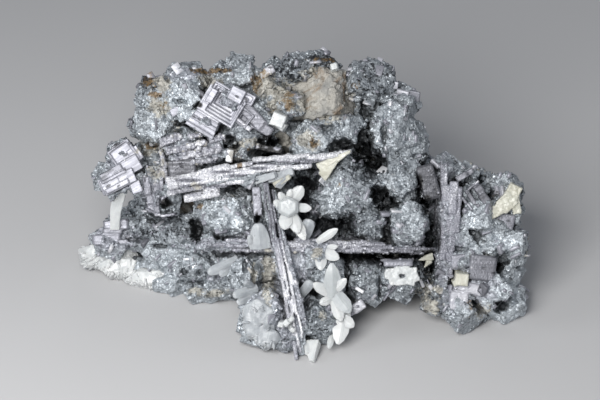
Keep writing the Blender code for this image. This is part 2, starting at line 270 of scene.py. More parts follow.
def grain_group():
    """Cells of random tone, a height, and a normal that leans its own way in each cell."""
    group, start, end = new_group(
        "grain",
        {"Place": ("Vector", (0, 0, 0)), "Cells": ("Float", 900.0), "Softness": ("Float", 0.5),
         "Lean": ("Float", 0.5), "Outward": ("Vector", (0, 0, 1))},
        {"Tone": "Float", "Height": "Float", "Normal": "Vector"},
    )
    place_in, cells, softness = (start.outputs[name] for name in ("Place", "Cells", "Softness"))
    wires = {"Vector": place_in, "Scale": cells}
    cell = add_node(group, "TexVoronoi", wires, feature="F1")
    cloud_scale = math_node(group, "MULTIPLY", cells, 0.12)
    cloud = add_node(group, "TexNoise", {"Vector": place_in, "Scale": cloud_scale, "Detail": 3.0})
    bright = add_node(group, "SeparateColor", {"Color": cell.outputs["Color"]}).outputs[0]
    spread = math_node(group, "SUBTRACT", cloud.outputs["Fac"], bright)
    lean = math_node(group, "MULTIPLY", spread, softness)
    tone = math_node(group, "ADD", bright, lean)
    group.links.new(tone, end.inputs["Tone"])
    group.links.new(cell.outputs["Distance"], end.inputs["Height"])
    way = add_node(group, "VectorMath", {0: cell.outputs["Color"], 1: (0.5, 0.5, 0.5)}, operation="SUBTRACT")
    wires = {0: way.outputs[0], "Scale": start.outputs["Lean"]}
    side = add_node(group, "VectorMath", wires, operation="SCALE")
    wires = {0: start.outputs["Outward"], 1: side.outputs[0]}
    leaning = add_node(group, "VectorMath", wires, operation="ADD")
    unit = add_node(group, "VectorMath", {0: leaning.outputs[0]}, operation="NORMALIZE")
    group.links.new(unit.outputs[0], end.inputs["Normal"])
    return group


def streak_group():
    """Fine lines along the first axis of Place, and pits between them, which the plate finish paints dark as
    painted shade.
    """
    group, start, end = new_group(
        "streaks",
        {"Place": ("Vector", (0, 0, 0)), "Lines": ("Float", 900.0), "Stretch": ("Float", 0.06),
         "Pits": ("Float", 420.0)},
        {"Line": "Float", "Pit": "Float"},
    )
    parts = add_node(group, "SeparateXYZ", {"Vector": start.outputs["Place"]})
    along = math_node(group, "MULTIPLY", parts.outputs["X"], start.outputs["Stretch"])
    drawn = add_node(group, "CombineXYZ", {"X": along, "Y": parts.outputs["Y"], "Z": parts.outputs["Z"]})
    wires = {"Vector": drawn.outputs[0], "Scale": start.outputs["Lines"], "Detail": 2.0}
    line = add_node(group, "TexNoise", wires)
    wires = {0: start.outputs["Place"], 1: (0.45, 1.0, 1.0)}
    squat = add_node(group, "VectorMath", wires, operation="MULTIPLY")
    wires = {"Vector": squat.outputs[0], "Scale": start.outputs["Pits"], "Randomness": 1.0}
    hole = add_node(group, "TexVoronoi", wires, feature="F1")
    group.links.new(line.outputs["Fac"], end.inputs["Line"])
    pit = ramp(group, hole.outputs["Distance"], 0.10, 0.26, 1.0, 0.0)
    group.links.new(pit, end.inputs["Pit"])
    return group


def ragged_group():
    """A soft mask broken up by noise, so that it ends in a torn edge."""
    group, start, end = new_group(
        "ragged",
        {"Place": ("Vector", (0, 0, 0)), "Mask": ("Float", 0.0), "Tear": ("Float", 350.0)},
        {"Mask": "Float"},
    )
    wires = {"Vector": start.outputs["Place"], "Scale": start.outputs["Tear"]}
    wires.update({"Detail": 5.0, "Roughness": 0.7})
    torn = ramp(group, add_node(group, "TexNoise", wires).outputs["Fac"], 0.28, 0.72)
    body = math_node(group, "MULTIPLY", start.outputs["Mask"], 0.8)
    total = math_node(group, "ADD", body, torn)
    edge = ramp(group, total, 0.94, 1.16)
    group.links.new(edge, end.inputs["Mask"])
    return group


GRAIN = grain_group()
STREAKS = streak_group()
RAGGED = ragged_group()
print("groups:", [group.name for group in bpy.data.node_groups])

# %% [markdown]
# ## Sugary galena
#
# Each tiny crystal of a lump is a metal mirror that has dulled a little, so neighbours differ: some
# are bright, some dark. The mesh carries that in attributes. `tone` is the crystal's own brightness,
# `shade` makes a stretch of lumps lighter or darker, some of it as painted shade, and a crevice
# measure says how deep a point sits in a crevice, where black is painted in as painted shade.
# `lilac`, `tan` and `iron` are where a lilac film, brown rock dust or an iron stain lies.

# %% Sugary galena material
DARK_GALENA = (0.125, 0.141, 0.160, 1)
LIGHT_GALENA = (0.73, 0.785, 0.83, 1)
LILAC_FILM = (0.40, 0.405, 0.46, 1)
ROCK_DUST = (0.27, 0.255, 0.22, 1)
PALE_DUST = (0.54, 0.52, 0.46, 1)
IRON_STAIN = (0.20, 0.128, 0.055, 1)
# Black painted into crevices, cavities, pits and the gaps between grains: painted shade.
PAINTED_SHADE_BLACK = (0.006, 0.006, 0.007, 1)


def stained(tree, place_out, colour):
    """The galena's colour under dust and rust, and how much of it is still bare metal."""
    tan = use_group(tree, RAGGED, {"Place": place_out, "Mask": attribute(tree, "tan"), "Tear": 300.0})
    iron = use_group(tree, RAGGED, {"Place": place_out, "Mask": attribute(tree, "iron"), "Tear": 420.0})
    dust_cloud = add_node(tree, "TexNoise", {"Vector": place_out, "Scale": 260.0, "Detail": 4.0})
    dust = mixed(tree, ramp(tree, dust_cloud.outputs["Fac"], 0.38, 0.62), ROCK_DUST, PALE_DUST)
    colour = mixed(tree, math_node(tree, "MULTIPLY", tan.outputs["Mask"], 0.85), colour, dust)
    colour = mixed(tree, math_node(tree, "MULTIPLY", iron.outputs["Mask"], 0.85), colour, IRON_STAIN)
    covered = math_node(tree, "MAXIMUM", tan.outputs["Mask"], iron.outputs["Mask"])
    return colour, ramp(tree, covered, 0.0, 1.0, 1.0, 0.0)


def sugar_material():
    """Metal crystals, each with its own brightness, under films and dust, with crevices painted black as
    painted shade.
    """
    made, tree, shader = new_material("galena_sugar", Specular_IOR_Level=0.5)
    place_out = object_place(tree)
    outward = add_node(tree, "NewGeometry").outputs["Normal"]
    wires = {"Place": place_out, "Cells": 620.0, "Softness": 0.4, "Lean": 1.0, "Outward": outward}
    facets = use_group(tree, GRAIN, wires)
    wires = {"Place": place_out, "Cells": 1500.0, "Softness": 0.3, "Lean": 0.9}
    wires["Outward"] = facets.outputs["Normal"]
    grain = use_group(tree, GRAIN, wires)
    own = math_node(tree, "MULTIPLY", attribute(tree, "tone"), 0.34)
    facet = math_node(tree, "MULTIPLY", facets.outputs["Tone"], 0.28)
    fine = math_node(tree, "MULTIPLY", grain.outputs["Tone"], 0.42)
    both = math_node(tree, "ADD", facet, fine)
    bright = math_node(tree, "ADD", math_node(tree, "ADD", own, both), attribute(tree, "shade"))
    colour = mixed(tree, ramp(tree, bright, 0.10, 0.95), DARK_GALENA, LIGHT_GALENA)
    # Painted shade: the darkest cells turn black, for the dark gaps between grains.
    grain_gap_shade = ramp(tree, bright, 0.20, 0.30, 0.75, 0.0)
    colour = mixed(tree, grain_gap_shade, colour, PAINTED_SHADE_BLACK)
    lilac = use_group(tree, RAGGED, {"Place": place_out, "Mask": attribute(tree, "lilac"), "Tear": 500.0})
    colour = mixed(tree, math_node(tree, "MULTIPLY", lilac.outputs["Mask"], 0.55), colour, LILAC_FILM)
    colour, bare = stained(tree, place_out, colour)
    # Painted shade: the deeper a point sits in a crevice, the more black is painted in.
    colour = mixed(tree, ramp(tree, attribute(tree, "hollow"), 0.50, 1.0, 0.0, 0.9), colour, PAINTED_SHADE_BLACK)
    metal = ramp(tree, bare, 0.0, 1.0, 0.05, 0.45)
    rough = ramp(tree, attribute(tree, "tone"), 0.0, 1.0, 0.62, 0.30)
    wires = {"Height": grain.outputs["Height"], "Normal": grain.outputs["Normal"], "Strength": 0.35}
    bump = add_node(tree, "Bump", {**wires, "Distance": 0.0003})
    feed(tree, shader, Base_Color=colour, Metallic=metal, Roughness=rough, Normal=bump.outputs["Normal"])
    return made


SUGAR = sugar_material()
print("made", SUGAR.name)

# %% [markdown]
# ## Plates and blades of galena
#
# The flat faces have dulled to a lilac grey that is satin more than metal. They are ruled with growth
# lines along each blade and peppered with pits, painted dark as painted shade. The attribute `tone`
# runs from 0 for a nearly black plate to 1 for the bright upper blade, and part of it is painted light:
# bright on lit faces and edges, dark on shaded faces and as a painted reflection of the dark surround.
# Black is painted into crevices as painted shade, and `grain` gives places along and across each blade.

# %% Plate material
# Tones run from dark through lilac to bright. Where a piece's tone asks for them, the ends carry painted
# shade, painted reflection and painted light.
PLATE_DARK = (0.070, 0.072, 0.082, 1)
PLATE_LILAC = (0.335, 0.340, 0.385, 1)
PLATE_BRIGHT = (0.88, 0.885, 0.91, 1)


def plate_material(name, ruled, pit_shade):
    """Satin galena: how strongly it is ruled with growth lines, and how dark its pits are painted, as painted
    shade.
    """
    made, tree, shader = new_material(name, Specular_IOR_Level=0.5)
    place_out = object_place(tree)
    along = add_node(tree, "Attribute", attribute_name="grain").outputs["Vector"]
    streaks = use_group(tree, STREAKS, {"Place": along, "Lines": 1400.0, "Stretch": 0.05, "Pits": 520.0})
    grain = use_group(tree, GRAIN, {"Place": place_out, "Cells": 1700.0, "Softness": 0.4})
    # Tone is partly painted light: bright where a face is lit, dark where it is shaded or stands for a
    # painted reflection of the dark surround.
    tone = attribute(tree, "tone")
    worn = math_node(tree, "MULTIPLY", math_node(tree, "SUBTRACT", streaks.outputs["Line"], 0.5), ruled)
    speck = math_node(tree, "MULTIPLY", math_node(tree, "SUBTRACT", grain.outputs["Tone"], 0.5), ruled * 0.22)
    total = math_node(tree, "ADD", math_node(tree, "ADD", tone, worn), speck)
    low = mixed(tree, ramp(tree, total, 0.0, 0.5), PLATE_DARK, PLATE_LILAC)
    colour = mixed(tree, ramp(tree, total, 0.5, 1.0), low, PLATE_BRIGHT)
    colour, bare = stained(tree, place_out, colour)
    # Painted shade: the pits, in patches, are darkened towards black.
    patchy = add_node(tree, "TexNoise", {"Vector": place_out, "Scale": 170.0, "Detail": 2.0}).outputs["Fac"]
    pitted = math_node(tree, "MULTIPLY", streaks.outputs["Pit"], ramp(tree, patchy, 0.46, 0.56))
    colour = mixed(tree, math_node(tree, "MULTIPLY", pitted, pit_shade), colour, PAINTED_SHADE_BLACK)
    # Painted shade: black painted into crevices.
    colour = mixed(tree, ramp(tree, attribute(tree, "hollow"), 0.45, 1.0), colour, PAINTED_SHADE_BLACK)
    metal = ramp(tree, bare, 0.0, 1.0, 0.0, 0.35)
    rough = ramp(tree, streaks.outputs["Line"], 0.3, 0.7, 0.58, 0.36)
    relief = math_node(tree, "SUBTRACT", math_node(tree, "MULTIPLY", streaks.outputs["Line"], ruled), pitted)
    bump = add_node(tree, "Bump", {"Height": relief, "Strength": 0.5, "Distance": 0.0004})
    feed(tree, shader, Base_Color=colour, Metallic=metal, Roughness=rough, Normal=bump.outputs["Normal"])
    return made


BLADE = plate_material("galena_blade", 0.50, 0.90)
PLATE = plate_material("galena_plate", 0.26, 0.75)
print("made", BLADE.name, PLATE.name)

# %% [markdown]
# ## Calcite
#
# Calcite is milky here: light goes in, scatters and comes out soft. That is what the Principled
# shader's subsurface scattering does, with a little transmission for the thin tips. Growth lines run
# along each crystal: the attribute `grain` holds places along and across it. The four finishes differ
# in tint and cloudiness only: white for the sprays, a cooler pale one for the spire, cream for the
# wedges on the right, and a milky grey for the crusts that galena shows through.

# %% Calcite materials


def calcite_material(name, tint, deep_tint, cloudy):
    """Milky crystal: fine growth lines, faint clouds, and a soft waxy gloss."""
    made, tree, shader = new_material(
        name,
        Subsurface_Weight=0.35,
        Subsurface_Radius=(1.0, 1.0, 0.95),
        Subsurface_Scale=0.0016,
        Transmission_Weight=0.25,
        IOR=1.55,
    )
    place_out = object_place(tree)
    cloud = add_node(tree, "TexNoise", {"Vector": place_out, "Scale": 210.0, "Detail": 5.0, "Roughness": 0.6})
    haze = ramp(tree, cloud.outputs["Fac"], 0.36, 0.64)
    colour = mixed(tree, math_node(tree, "MULTIPLY", haze, cloudy), tint, deep_tint)
    along = add_node(tree, "Attribute", attribute_name="grain").outputs["Vector"]
    streaks = use_group(tree, STREAKS, {"Place": along, "Lines": 1500.0, "Stretch": 0.07})
    colour = mixed(tree, ramp(tree, streaks.outputs["Line"], 0.48, 0.66, 0.0, 0.40), colour, deep_tint)
    grain = use_group(tree, GRAIN, {"Place": place_out, "Cells": 1300.0, "Softness": 0.6})
    fine = math_node(tree, "MULTIPLY", grain.outputs["Tone"], 0.12)
    colour = mixed(tree, fine, colour, (0.97, 0.97, 0.97, 1))
    rough = ramp(tree, cloud.outputs["Fac"], 0.3, 0.7, 0.24, 0.46)
    height = math_node(tree, "ADD", cloud.outputs["Fac"], streaks.outputs["Line"])
    bump = add_node(tree, "Bump", {"Height": height, "Strength": 0.35, "Distance": 0.0003})
    feed(tree, shader, Base_Color=colour, Roughness=rough, Normal=bump.outputs["Normal"])
    return made


WHITE_CALCITE = calcite_material("calcite_white", (0.85, 0.865, 0.86, 1), (0.62, 0.66, 0.67, 1), 0.55)
PALE_CALCITE = calcite_material("calcite_pale", (0.66, 0.69, 0.70, 1), (0.46, 0.50, 0.515, 1), 0.60)
CREAM_CALCITE = calcite_material("calcite_cream", (0.78, 0.78, 0.68, 1), (0.60, 0.58, 0.47, 1), 0.70)
MILKY_CALCITE = calcite_material("calcite_milky", (0.61, 0.645, 0.67, 1), (0.35, 0.38, 0.415, 1), 0.75)
print("made", WHITE_CALCITE.name, PALE_CALCITE.name, CREAM_CALCITE.name, MILKY_CALCITE.name)

# %% [markdown]
# ## Host rock
#
# The rock under the galena is a tan to grey-brown limestone with rusty seams. It breaks in blocks and
# crumbs, so its colour changes in patches a few millimetres wide, and black is painted into the low places as
# painted shade.
# The attribute `pale` is where a clean cream face shows below the blades.

# %% Host rock material
ROCK_GREY = (0.25, 0.25, 0.242, 1)
ROCK_TAN = (0.40, 0.385, 0.35, 1)
ROCK_PALE = (0.58, 0.57, 0.53, 1)
ROCK_RUST = (0.21, 0.145, 0.09, 1)
ROCK_CREAM = (0.52, 0.43, 0.345, 1)


def rock_material():
    """Dull stone in tan and grey patches, with rusty seams and dark low places."""
    made, tree, shader = new_material("host_rock_rough", Metallic=0.0, Specular_IOR_Level=0.35)
    place_out = object_place(tree)
    wires = {"Vector": place_out, "Scale": 75.0, "Detail": 6.0, "Roughness": 0.62}
    blocks = add_node(tree, "TexNoise", wires)
    wires = {"Vector": place_out, "Scale": 140.0, "Detail": 4.0, "Distortion": 1.2}
    seams = add_node(tree, "TexNoise", wires)
    grain = use_group(tree, GRAIN, {"Place": place_out, "Cells": 1100.0, "Softness": 0.5})
    colour = mixed(tree, ramp(tree, blocks.outputs["Fac"], 0.40, 0.58), ROCK_GREY, ROCK_TAN)
    pale = math_node(tree, "MULTIPLY", ramp(tree, grain.outputs["Tone"], 0.55, 0.85), 0.55)
    colour = mixed(tree, pale, colour, ROCK_PALE)
    pale_face = math_node(tree, "MULTIPLY", attribute(tree, "pale"), 0.8)
    colour = mixed(tree, pale_face, colour, ROCK_CREAM)
    rust = math_node(tree, "MULTIPLY", ramp(tree, seams.outputs["Fac"], 0.55, 0.66), 0.75)
    colour = mixed(tree, rust, colour, ROCK_RUST)
    iron = use_group(tree, RAGGED, {"Place": place_out, "Mask": attribute(tree, "iron"), "Tear": 420.0})
    colour = mixed(tree, math_node(tree, "MULTIPLY", iron.outputs["Mask"], 0.7), colour, IRON_STAIN)
    # Painted shade: the low places are darkened to black.
    colour = mixed(tree, ramp(tree, attribute(tree, "hollow"), 0.40, 1.0), colour, PAINTED_SHADE_BLACK)
    rough = ramp(tree, grain.outputs["Tone"], 0.0, 1.0, 0.92, 0.62)
    crumb = math_node(tree, "MULTIPLY", grain.outputs["Height"], 0.4)
    height = math_node(tree, "ADD", blocks.outputs["Fac"], crumb)
    bump = add_node(tree, "Bump", {"Height": height, "Strength": 0.7, "Distance": 0.0008})
    feed(tree, shader, Base_Color=colour, Roughness=rough, Normal=bump.outputs["Normal"])
    return made


ROCK = rock_material()
print("made", ROCK.name)

# %% [markdown]
# ## The floor
#
# The floor isn't part of the object.

# %% Floor
FLOOR_SIDE = 6.0  # metres

floor_material, floor_tree, floor_shader = new_material("pale_paper", Roughness=0.9, Specular_IOR_Level=0.2)
paper = add_node(floor_tree, "TexNoise", {"Vector": object_place(floor_tree), "Scale": 3.0, "Detail": 2.0})
paper_colour = mixed(floor_tree, paper.outputs["Fac"], (0.51, 0.51, 0.515, 1), (0.54, 0.54, 0.545, 1))
floor_tree.links.new(paper_colour, floor_shader.inputs["Base Color"])

bpy.ops.object.select_all(action="DESELECT")
bpy.ops.mesh.primitive_plane_add(size=FLOOR_SIDE, location=(0, 0, 0))
floor = bpy.context.object
floor.name = "floor"
floor.data.materials.append(floor_material)
floor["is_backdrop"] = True
print("floor", FLOOR_SIDE, "m wide")

# %% [markdown]
# ## Working on one piece at a time
#
# Blender's operators act on whatever is selected, so each step starts by selecting nothing and then
# only its own piece. `modified` adds a modifier and applies it. `finished` gives a piece its material
# and the body that it rides on, and hides the imported solids that it stands for.

# %% Piece helpers


def only(piece):
    """Selects one piece and makes it active."""
    bpy.ops.object.select_all(action="DESELECT")
    piece.select_set(True)
    bpy.context.view_layer.objects.active = piece
    return piece


def modified(piece, kind, **settings):
    """A modifier added to the piece and applied at once."""
    only(piece)
    modifier = piece.modifiers.new(kind.lower(), kind)
    for name, value in settings.items():
        setattr(modifier, name, value)
    bpy.ops.object.modifier_apply(modifier=modifier.name)
    return piece


def pushed(piece, texture, strength, middle=0.5):
    """The piece's skin moved along its normals by a texture, which moves nothing where it is middle."""
    return modified(piece, "DISPLACE", texture=texture, texture_coords="LOCAL", strength=strength,
                    mid_level=middle)


def triangles(piece):
    """How many triangles the piece has."""
    piece.data.calc_loop_triangles()
    return len(piece.data.loop_triangles)


def finished(piece, finish, slot, *nodes):
    """The piece with its material, on its body, standing for the CAD nodes that it covers."""
    piece.data.materials.clear()
    piece.data.materials.append(finish)
    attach(piece, "root")
    if nodes:
        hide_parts(*nodes)
    print(f"{piece.name}: {triangles(piece)} triangles")
    return piece


def sewn_copy(node, name):
    """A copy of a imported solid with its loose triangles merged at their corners."""
    copy = bpy.data.objects.new(name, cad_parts[node].data.copy())
    bpy.context.scene.collection.objects.link(copy)
    only(copy)
    bpy.ops.object.mode_set(mode="EDIT")
    bpy.ops.mesh.select_all(action="SELECT")
    bpy.ops.mesh.remove_doubles(threshold=0.01 * MM)
    bpy.ops.object.mode_set(mode="OBJECT")
    return copy


def relief(name, kind, size, **settings):
    """A texture for a Displace modifier, its features about size metres wide."""
    made = bpy.data.textures.new(name, kind)
    made.noise_scale = size
    for setting, value in settings.items():
        setattr(made, setting, value)
    return made


def corners_of(piece):
    """The piece's vertices as an array, in metres."""
    spots = np.empty(len(piece.data.vertices) * 3)
    piece.data.vertices.foreach_get("co", spots)
    return spots.reshape(-1, 3)


def normals_of(piece):
    """The piece's vertex normals as an array."""
    ways = np.empty(len(piece.data.vertices) * 3)
    piece.data.vertices.foreach_get("normal", ways)
    return ways.reshape(-1, 3)


def put_corners(piece, spots):
    """Moves the piece's vertices to these spots."""
    piece.data.vertices.foreach_set("co", np.asarray(spots, np.float32).ravel())
    piece.data.update()


def keep_attribute(piece, name, values):
    """Stores one number, or one vector, at each vertex of the piece."""
    values = np.asarray(values, np.float32)
    kind = "FLOAT" if values.ndim == 1 else "FLOAT_VECTOR"
    made = piece.data.attributes.new(name, kind, "POINT")
    made.data.foreach_set("value" if values.ndim == 1 else "vector", values.ravel())


print("piece helpers ready")

# %% [markdown]
# ## Where films, dust and stains lie
#
# A stain is given as a soft oval on the slope: where it is, how wide, how high, how strong.
# `cover` says how strongly such ovals cover each point. It looks at the surface normal too, so that a
# stain on the display side isn't repeated on the back. Two more lists of ovals shape the body. FLATS is
# where it makes room for blades and cubes, and CAVITIES is where it is pushed in between the lumps
# and painted black there as painted shade.

# %% Films, dust and stains
# Each row: across, up, half width, half height, strength.
TAN_DUST = [
    (-47, 39.3, 3.0, 3.2, 1.0), (-47.5, 31.5, 4.0, 3.4, 0.9), (-31, 40.5, 4.0, 2.4, 0.8),
    (-11.7, 39.0, 4.0, 4.4, 1.0), (-5.5, 35.5, 3.6, 3.6, 1.0), (-9, 31, 3.0, 2.6, 0.8),
    (-17.8, 19.2, 4.2, 1.5, 0.8), (-22, 15.5, 1.8, 3.0, 0.9), (3.2, 20.5, 4.5, 3.4, 0.8),
    (-10.5, -25.5, 2.2, 9.0, 1.0), (-15.5, -24.0, 1.4, 4.2, 0.8), (-22.6, -39, 1.2, 3.0, 0.8),
    (43.5, -33, 4.5, 6.0, 0.8), (61.5, -37.5, 2.8, 2.6, 0.9), (-48.5, 10.0, 3.4, 3.6, 0.7),
    (-32, -31.5, 8.0, 1.6, 0.8), (-50, 17.5, 5.0, 2.6, 0.8), (-43, 24, 4.0, 2.6, 0.5),
    (-35.2, 4.2, 2.6, 1.6, 0.7), (36.5, -23.0, 4.0, 2.0, 0.4), (5.5, -18.5, 2.0, 3.2, 0.8),
    (7, 35, 10.0, 9.0, 0.85), (7.5, -38.5, 1.3, 2.2, 0.8), (11.5, -47.5, 2.4, 1.3, 0.7),
    (30.5, 7.0, 1.6, 1.6, 0.4),
]
IRON_STAINS = [
    (4.4, 19.4, 2.2, 2.0, 0.75), (-4.0, 33.5, 2.6, 3.4, 0.75), (-46.5, 32.0, 2.2, 1.4, 0.5),
    (-33.9, -2.2, 0.9, 1.0, 1.0), (-30.5, 43.9, 6.5, 1.0, 1.0), (-12.0, 42.6, 2.0, 2.0, 0.7),
    (-50.5, 18.3, 3.0, 1.3, 0.8), (-20.2, 11.6, 0.9, 1.2, 0.9), (-51.4, 39.8, 2.6, 2.0, 0.7),
    (7, 47.5, 6.0, 0.9, 0.8), (-49.0, 35.6, 2.6, 0.9, 0.9), (-14.8, 39.6, 1.6, 3.4, 0.8),
    (-7.6, 30.0, 2.0, 1.4, 0.6), (57.3, -35.5, 1.2, 1.6, 0.8), (19.0, 38.8, 1.6, 1.4, 0.7),
    (-17, 17.0, 1.2, 1.0, 0.6), (66.5, 1.0, 2.6, 1.4, 0.5), (13.0, 4.5, 0.9, 1.0, 0.6),
]
LILAC_FILMS = [
    (-39.5, 42.5, 5.4, 2.4, 0.9), (-50.5, 2.5, 3.4, 6.0, 1.0), (-36, 15.5, 11.0, 4.6, 1.0),
    (-26, 31, 8.0, 8.0, 0.8), (-10.3, 43.8, 1.8, 2.2, 1.0), (-64, -13, 8.0, 5.0, 1.0),
    (-20, -15.2, 18.0, 3.2, 1.0), (16, -15.2, 16.0, 2.8, 1.0), (38, -16.2, 9.0, 1.6, 0.9),
    (-3.5, -30, 6.0, 20.0, 1.0), (49.5, -10, 4.2, 24.0, 1.0), (57.5, -28.5, 9.0, 7.0, 0.9),
    (19.5, -34.5, 3.4, 2.6, 1.0), (-14.5, -32, 3.4, 4.0, 0.8), (-60, 11, 5.0, 8.0, 0.9),
    (-28.5, -26.5, 4.0, 1.4, 0.8), (7.5, 10.5, 3.0, 3.2, 1.0), (24, -33, 3.0, 2.0, 0.5),
]
# The same ovals for making a stretch of lumps lighter or darker; a dark one has a negative strength.
LIGHTER = [
    (-39, 35.5, 5.6, 5.0, 0.30), (-47, 22, 5.5, 5.5, 0.14), (69, -35, 6.0, 7.5, 0.34),
    (66, -16, 8.0, 4.6, 0.20), (62, -6.5, 7.0, 4.0, 0.14), (35, 7.5, 6.0, 8.0, 0.13),
    (36, -8, 7.5, 6.0, 0.10), (22, 23, 8.0, 4.0, 0.10), (-22, 42, 7.0, 3.0, 0.10),
    (30, 30, 3.6, 2.6, 0.22), (-56, -24, 18.0, 6.0, 0.16), (-24, -34, 12.0, 4.0, 0.10),
    (12, 1, 7.0, 6.0, 0.12), (31, 21, 7.0, 6.0, 0.10), (21, -25, 6.0, 6.0, -0.02),
    (62, -28, 9.0, 6.0, 0.14), (-26, -4, 9.0, 7.5, 0.34), (3, 19.5, 4.0, 3.4, 0.30),
    (-38, -16.5, 12.0, 1.6, 0.22), (-24, -17.5, 8.0, 2.6, 0.22), (-4, -20, 6.0, 4.0, 0.16),
    (-9, -34, 5.0, 4.0, 0.16), (35, 10, 4.0, 6.0, 0.14), (25.5, 22.5, 3.0, 3.0, 0.20),
]
# The darker ones at (27, -20) under the level blade and at (24, 12), set back behind the middle lumps, are
# painted shade; the three along the top are dark brown rims.
DARKER = [
    (2, 43, 10.0, 5.0, 0.22), (43, 6, 4.5, 8.0, 0.26), (24, 12, 9.0, 4.5, 0.26),
    (27, -20, 7.0, 1.6, 0.45), (39, -24, 3.0, 6.0, 0.20), (10, 13, 5.0, 3.0, 0.05),
    (3, 6, 5.5, 8.0, 0.18), (-33, -9, 6.0, 7.0, 0.18), (-48, -7, 9.0, 5.0, 0.14),
    (16, -10, 5.0, 4.5, 0.20), (26, 40, 7.0, 6.0, 0.12), (9.5, -41, 7.0, 7.0, 0.12),
    (45, -27, 4.0, 9.0, 0.20), (-38, -25, 6.0, 3.0, 0.12), (31, 12, 9.0, 3.4, 0.20),
    (-51, 40, 3.0, 2.4, 0.30), (-30, 44, 6.0, 1.0, 0.30), (7, 47.8, 7.0, 1.2, 0.30),
]
# Where blades, plates and stepped cubes lie: the body makes room for them there.
FLATS = [
    (-26, 31.5, 8.5, 7.5, 1), (-35, 15.5, 8.5, 4.0, 1), (-26, 7.5, 15.0, 4.6, 1),
    (-4, 12.6, 17.0, 3.4, 1), (-49, 2, 3.4, 6.6, 1), (-59, 14, 5.0, 5.0, 1), (-61.5, 6, 6.4, 4.6, 1),
    (-18, -15.6, 15.0, 2.4, 1), (14, -15.4, 14.0, 2.2, 1), (38, -17, 8.0, 1.8, 1), (-9, -4, 3.4, 8.6, 1),
    (-4.5, -25, 3.6, 10.0, 1), (-0.4, -42, 2.8, 7.0, 1), (50.5, -5, 4.2, 14.0, 1), (50, -28, 3.2, 7.4, 1),
    (60, 2.5, 5.0, 5.0, 1), (61.3, -22.8, 4.4, 4.2, 1), (58, -29, 7.0, 3.4, 1), (53.5, -34, 3.0, 3.6, 1),
    (69, -7, 3.2, 2.8, 1), (-14.6, 27, 5.6, 3.4, 1), (43.4, 6, 2.6, 5.4, 1), (-64.5, -11.5, 5.0, 3.6, 1),
    (19, -34.6, 2.6, 2.4, 1), (33.6, -19.6, 4.0, 1.2, 1), (-53, -10.6, 6.0, 0.8, 0.8),
]
# Cavities between the lumps: across, up, half width, half height, and depth in millimetres.
CAVITIES = [
    (-10.6, 19.6, 3.0, 1.8, 8), (-10.5, 16.2, 5.0, 1.2, 7), (14.6, 18.8, 2.8, 1.7, 6),
    (21.4, 18.6, 2.2, 3.8, 7), (25.6, 13.4, 3.0, 3.0, 7), (2.4, 5.4, 3.2, 2.3, 7),
    (1.9, 0.2, 1.2, 3.0, 6), (1.6, -5.4, 1.6, 1.5, 6), (8.2, -8.6, 4.4, 2.4, 7),
    (15.8, -8.4, 2.4, 3.4, 4), (26.6, 1.6, 2.6, 2.0, 8), (30.2, -1.4, 2.4, 2.0, 8),
    (29.6, -11.0, 1.4, 4.2, 6), (40.4, 4.6, 0.7, 4.2, 5), (42.6, -2.0, 1.4, 2.6, 5),
    (27.0, -18.9, 11.0, 0.8, 6), (43.6, -20.0, 1.7, 3.0, 6), (15.7, -24.5, 0.6, 4.6, 4),
    (26.8, -30.6, 0.6, 2.6, 4), (-34.7, -10.2, 1.5, 3.0, 7), (-23.4, 20.4, 1.3, 1.2, 5),
    (-21.4, 18.2, 1.2, 1.1, 5), (-15.0, 15.9, 2.0, 1.0, 5), (-34.2, 31.6, 1.2, 0.8, 5),
    (-40.6, 33.4, 2.2, 0.7, 3), (-41.6, 23.2, 2.0, 0.8, 4), (-45.4, -0.8, 1.7, 1.3, 6),
    (-14.4, -6.0, 0.6, 2.4, 5), (-47.6, -15.7, 3.2, 0.5, 3), (-56.6, -13.6, 2.8, 0.5, 3),
    (-51.0, 14.6, 2.6, 1.6, 3), (-39.4, -24.4, 1.0, 0.8, 3), (-34.0, -24.6, 0.9, 0.8, 3),
    (-37.0, -28.0, 3.2, 0.5, 3), (46.6, -12.6, 1.0, 4.4, 4), (68.3, -19.3, 2.0, 1.8, 4),
    (67.6, -35.5, 1.6, 1.6, 4), (-18.7, -21.6, 0.5, 2.2, 3), (-15.7, -26.2, 0.5, 2.8, 3),
    (9.2, 24.2, 2.6, 0.7, 3), (52.6, -16.4, 2.6, 0.7, 3), (56.4, 7.0, 1.0, 2.2, 3),
    (28.4, 22.6, 0.8, 3.4, 4), (21.6, 31.0, 0.7, 3.6, 3),
]
# Painted shade: a cavity this many millimetres deep is painted fully black, and the black holds on its walls.
CAVITY_DARK = 4.5  # a cavity this many millimetres deep is black
SEEN_FROM = (-0.25, 0.15)  # a stain fades where the normal turns this far from the slope's
STEEP_FROM = (-0.70, -0.40)  # what is dark in a cavity holds on its walls too


def cover(spots, ways, rows, seen=SEEN_FROM, ragged=0.0):
    """How strongly a list of ovals covers each point, from 0 to 1. Ragged ones have an uneven edge."""
    places = on_slope(spots)
    facing = np.clip((ways @ np.array(OUT) - seen[0]) / (seen[1] - seen[0]), 0, 1)
    uneven = ragged * drift(spots, 2.2 * MM, 8) if ragged else 0.0
    total = np.zeros(len(places))
    for across, up, wide, high, strength in rows:
        far = np.hypot((places[:, 0] - across) / wide, (places[:, 1] - up) / high) + uneven
        total = np.maximum(total, strength * np.clip(1.7 - far, 0, 1))
    return total * facing


def drift(spots, size, seed):
    """Slow noise over the specimen, from -1 to 1, its swells about size metres wide."""
    shift = Vector((seed * 7.31, seed * 3.17, seed * 5.53))
    return np.array([noise(Vector(spot) / size + shift) for spot in spots])


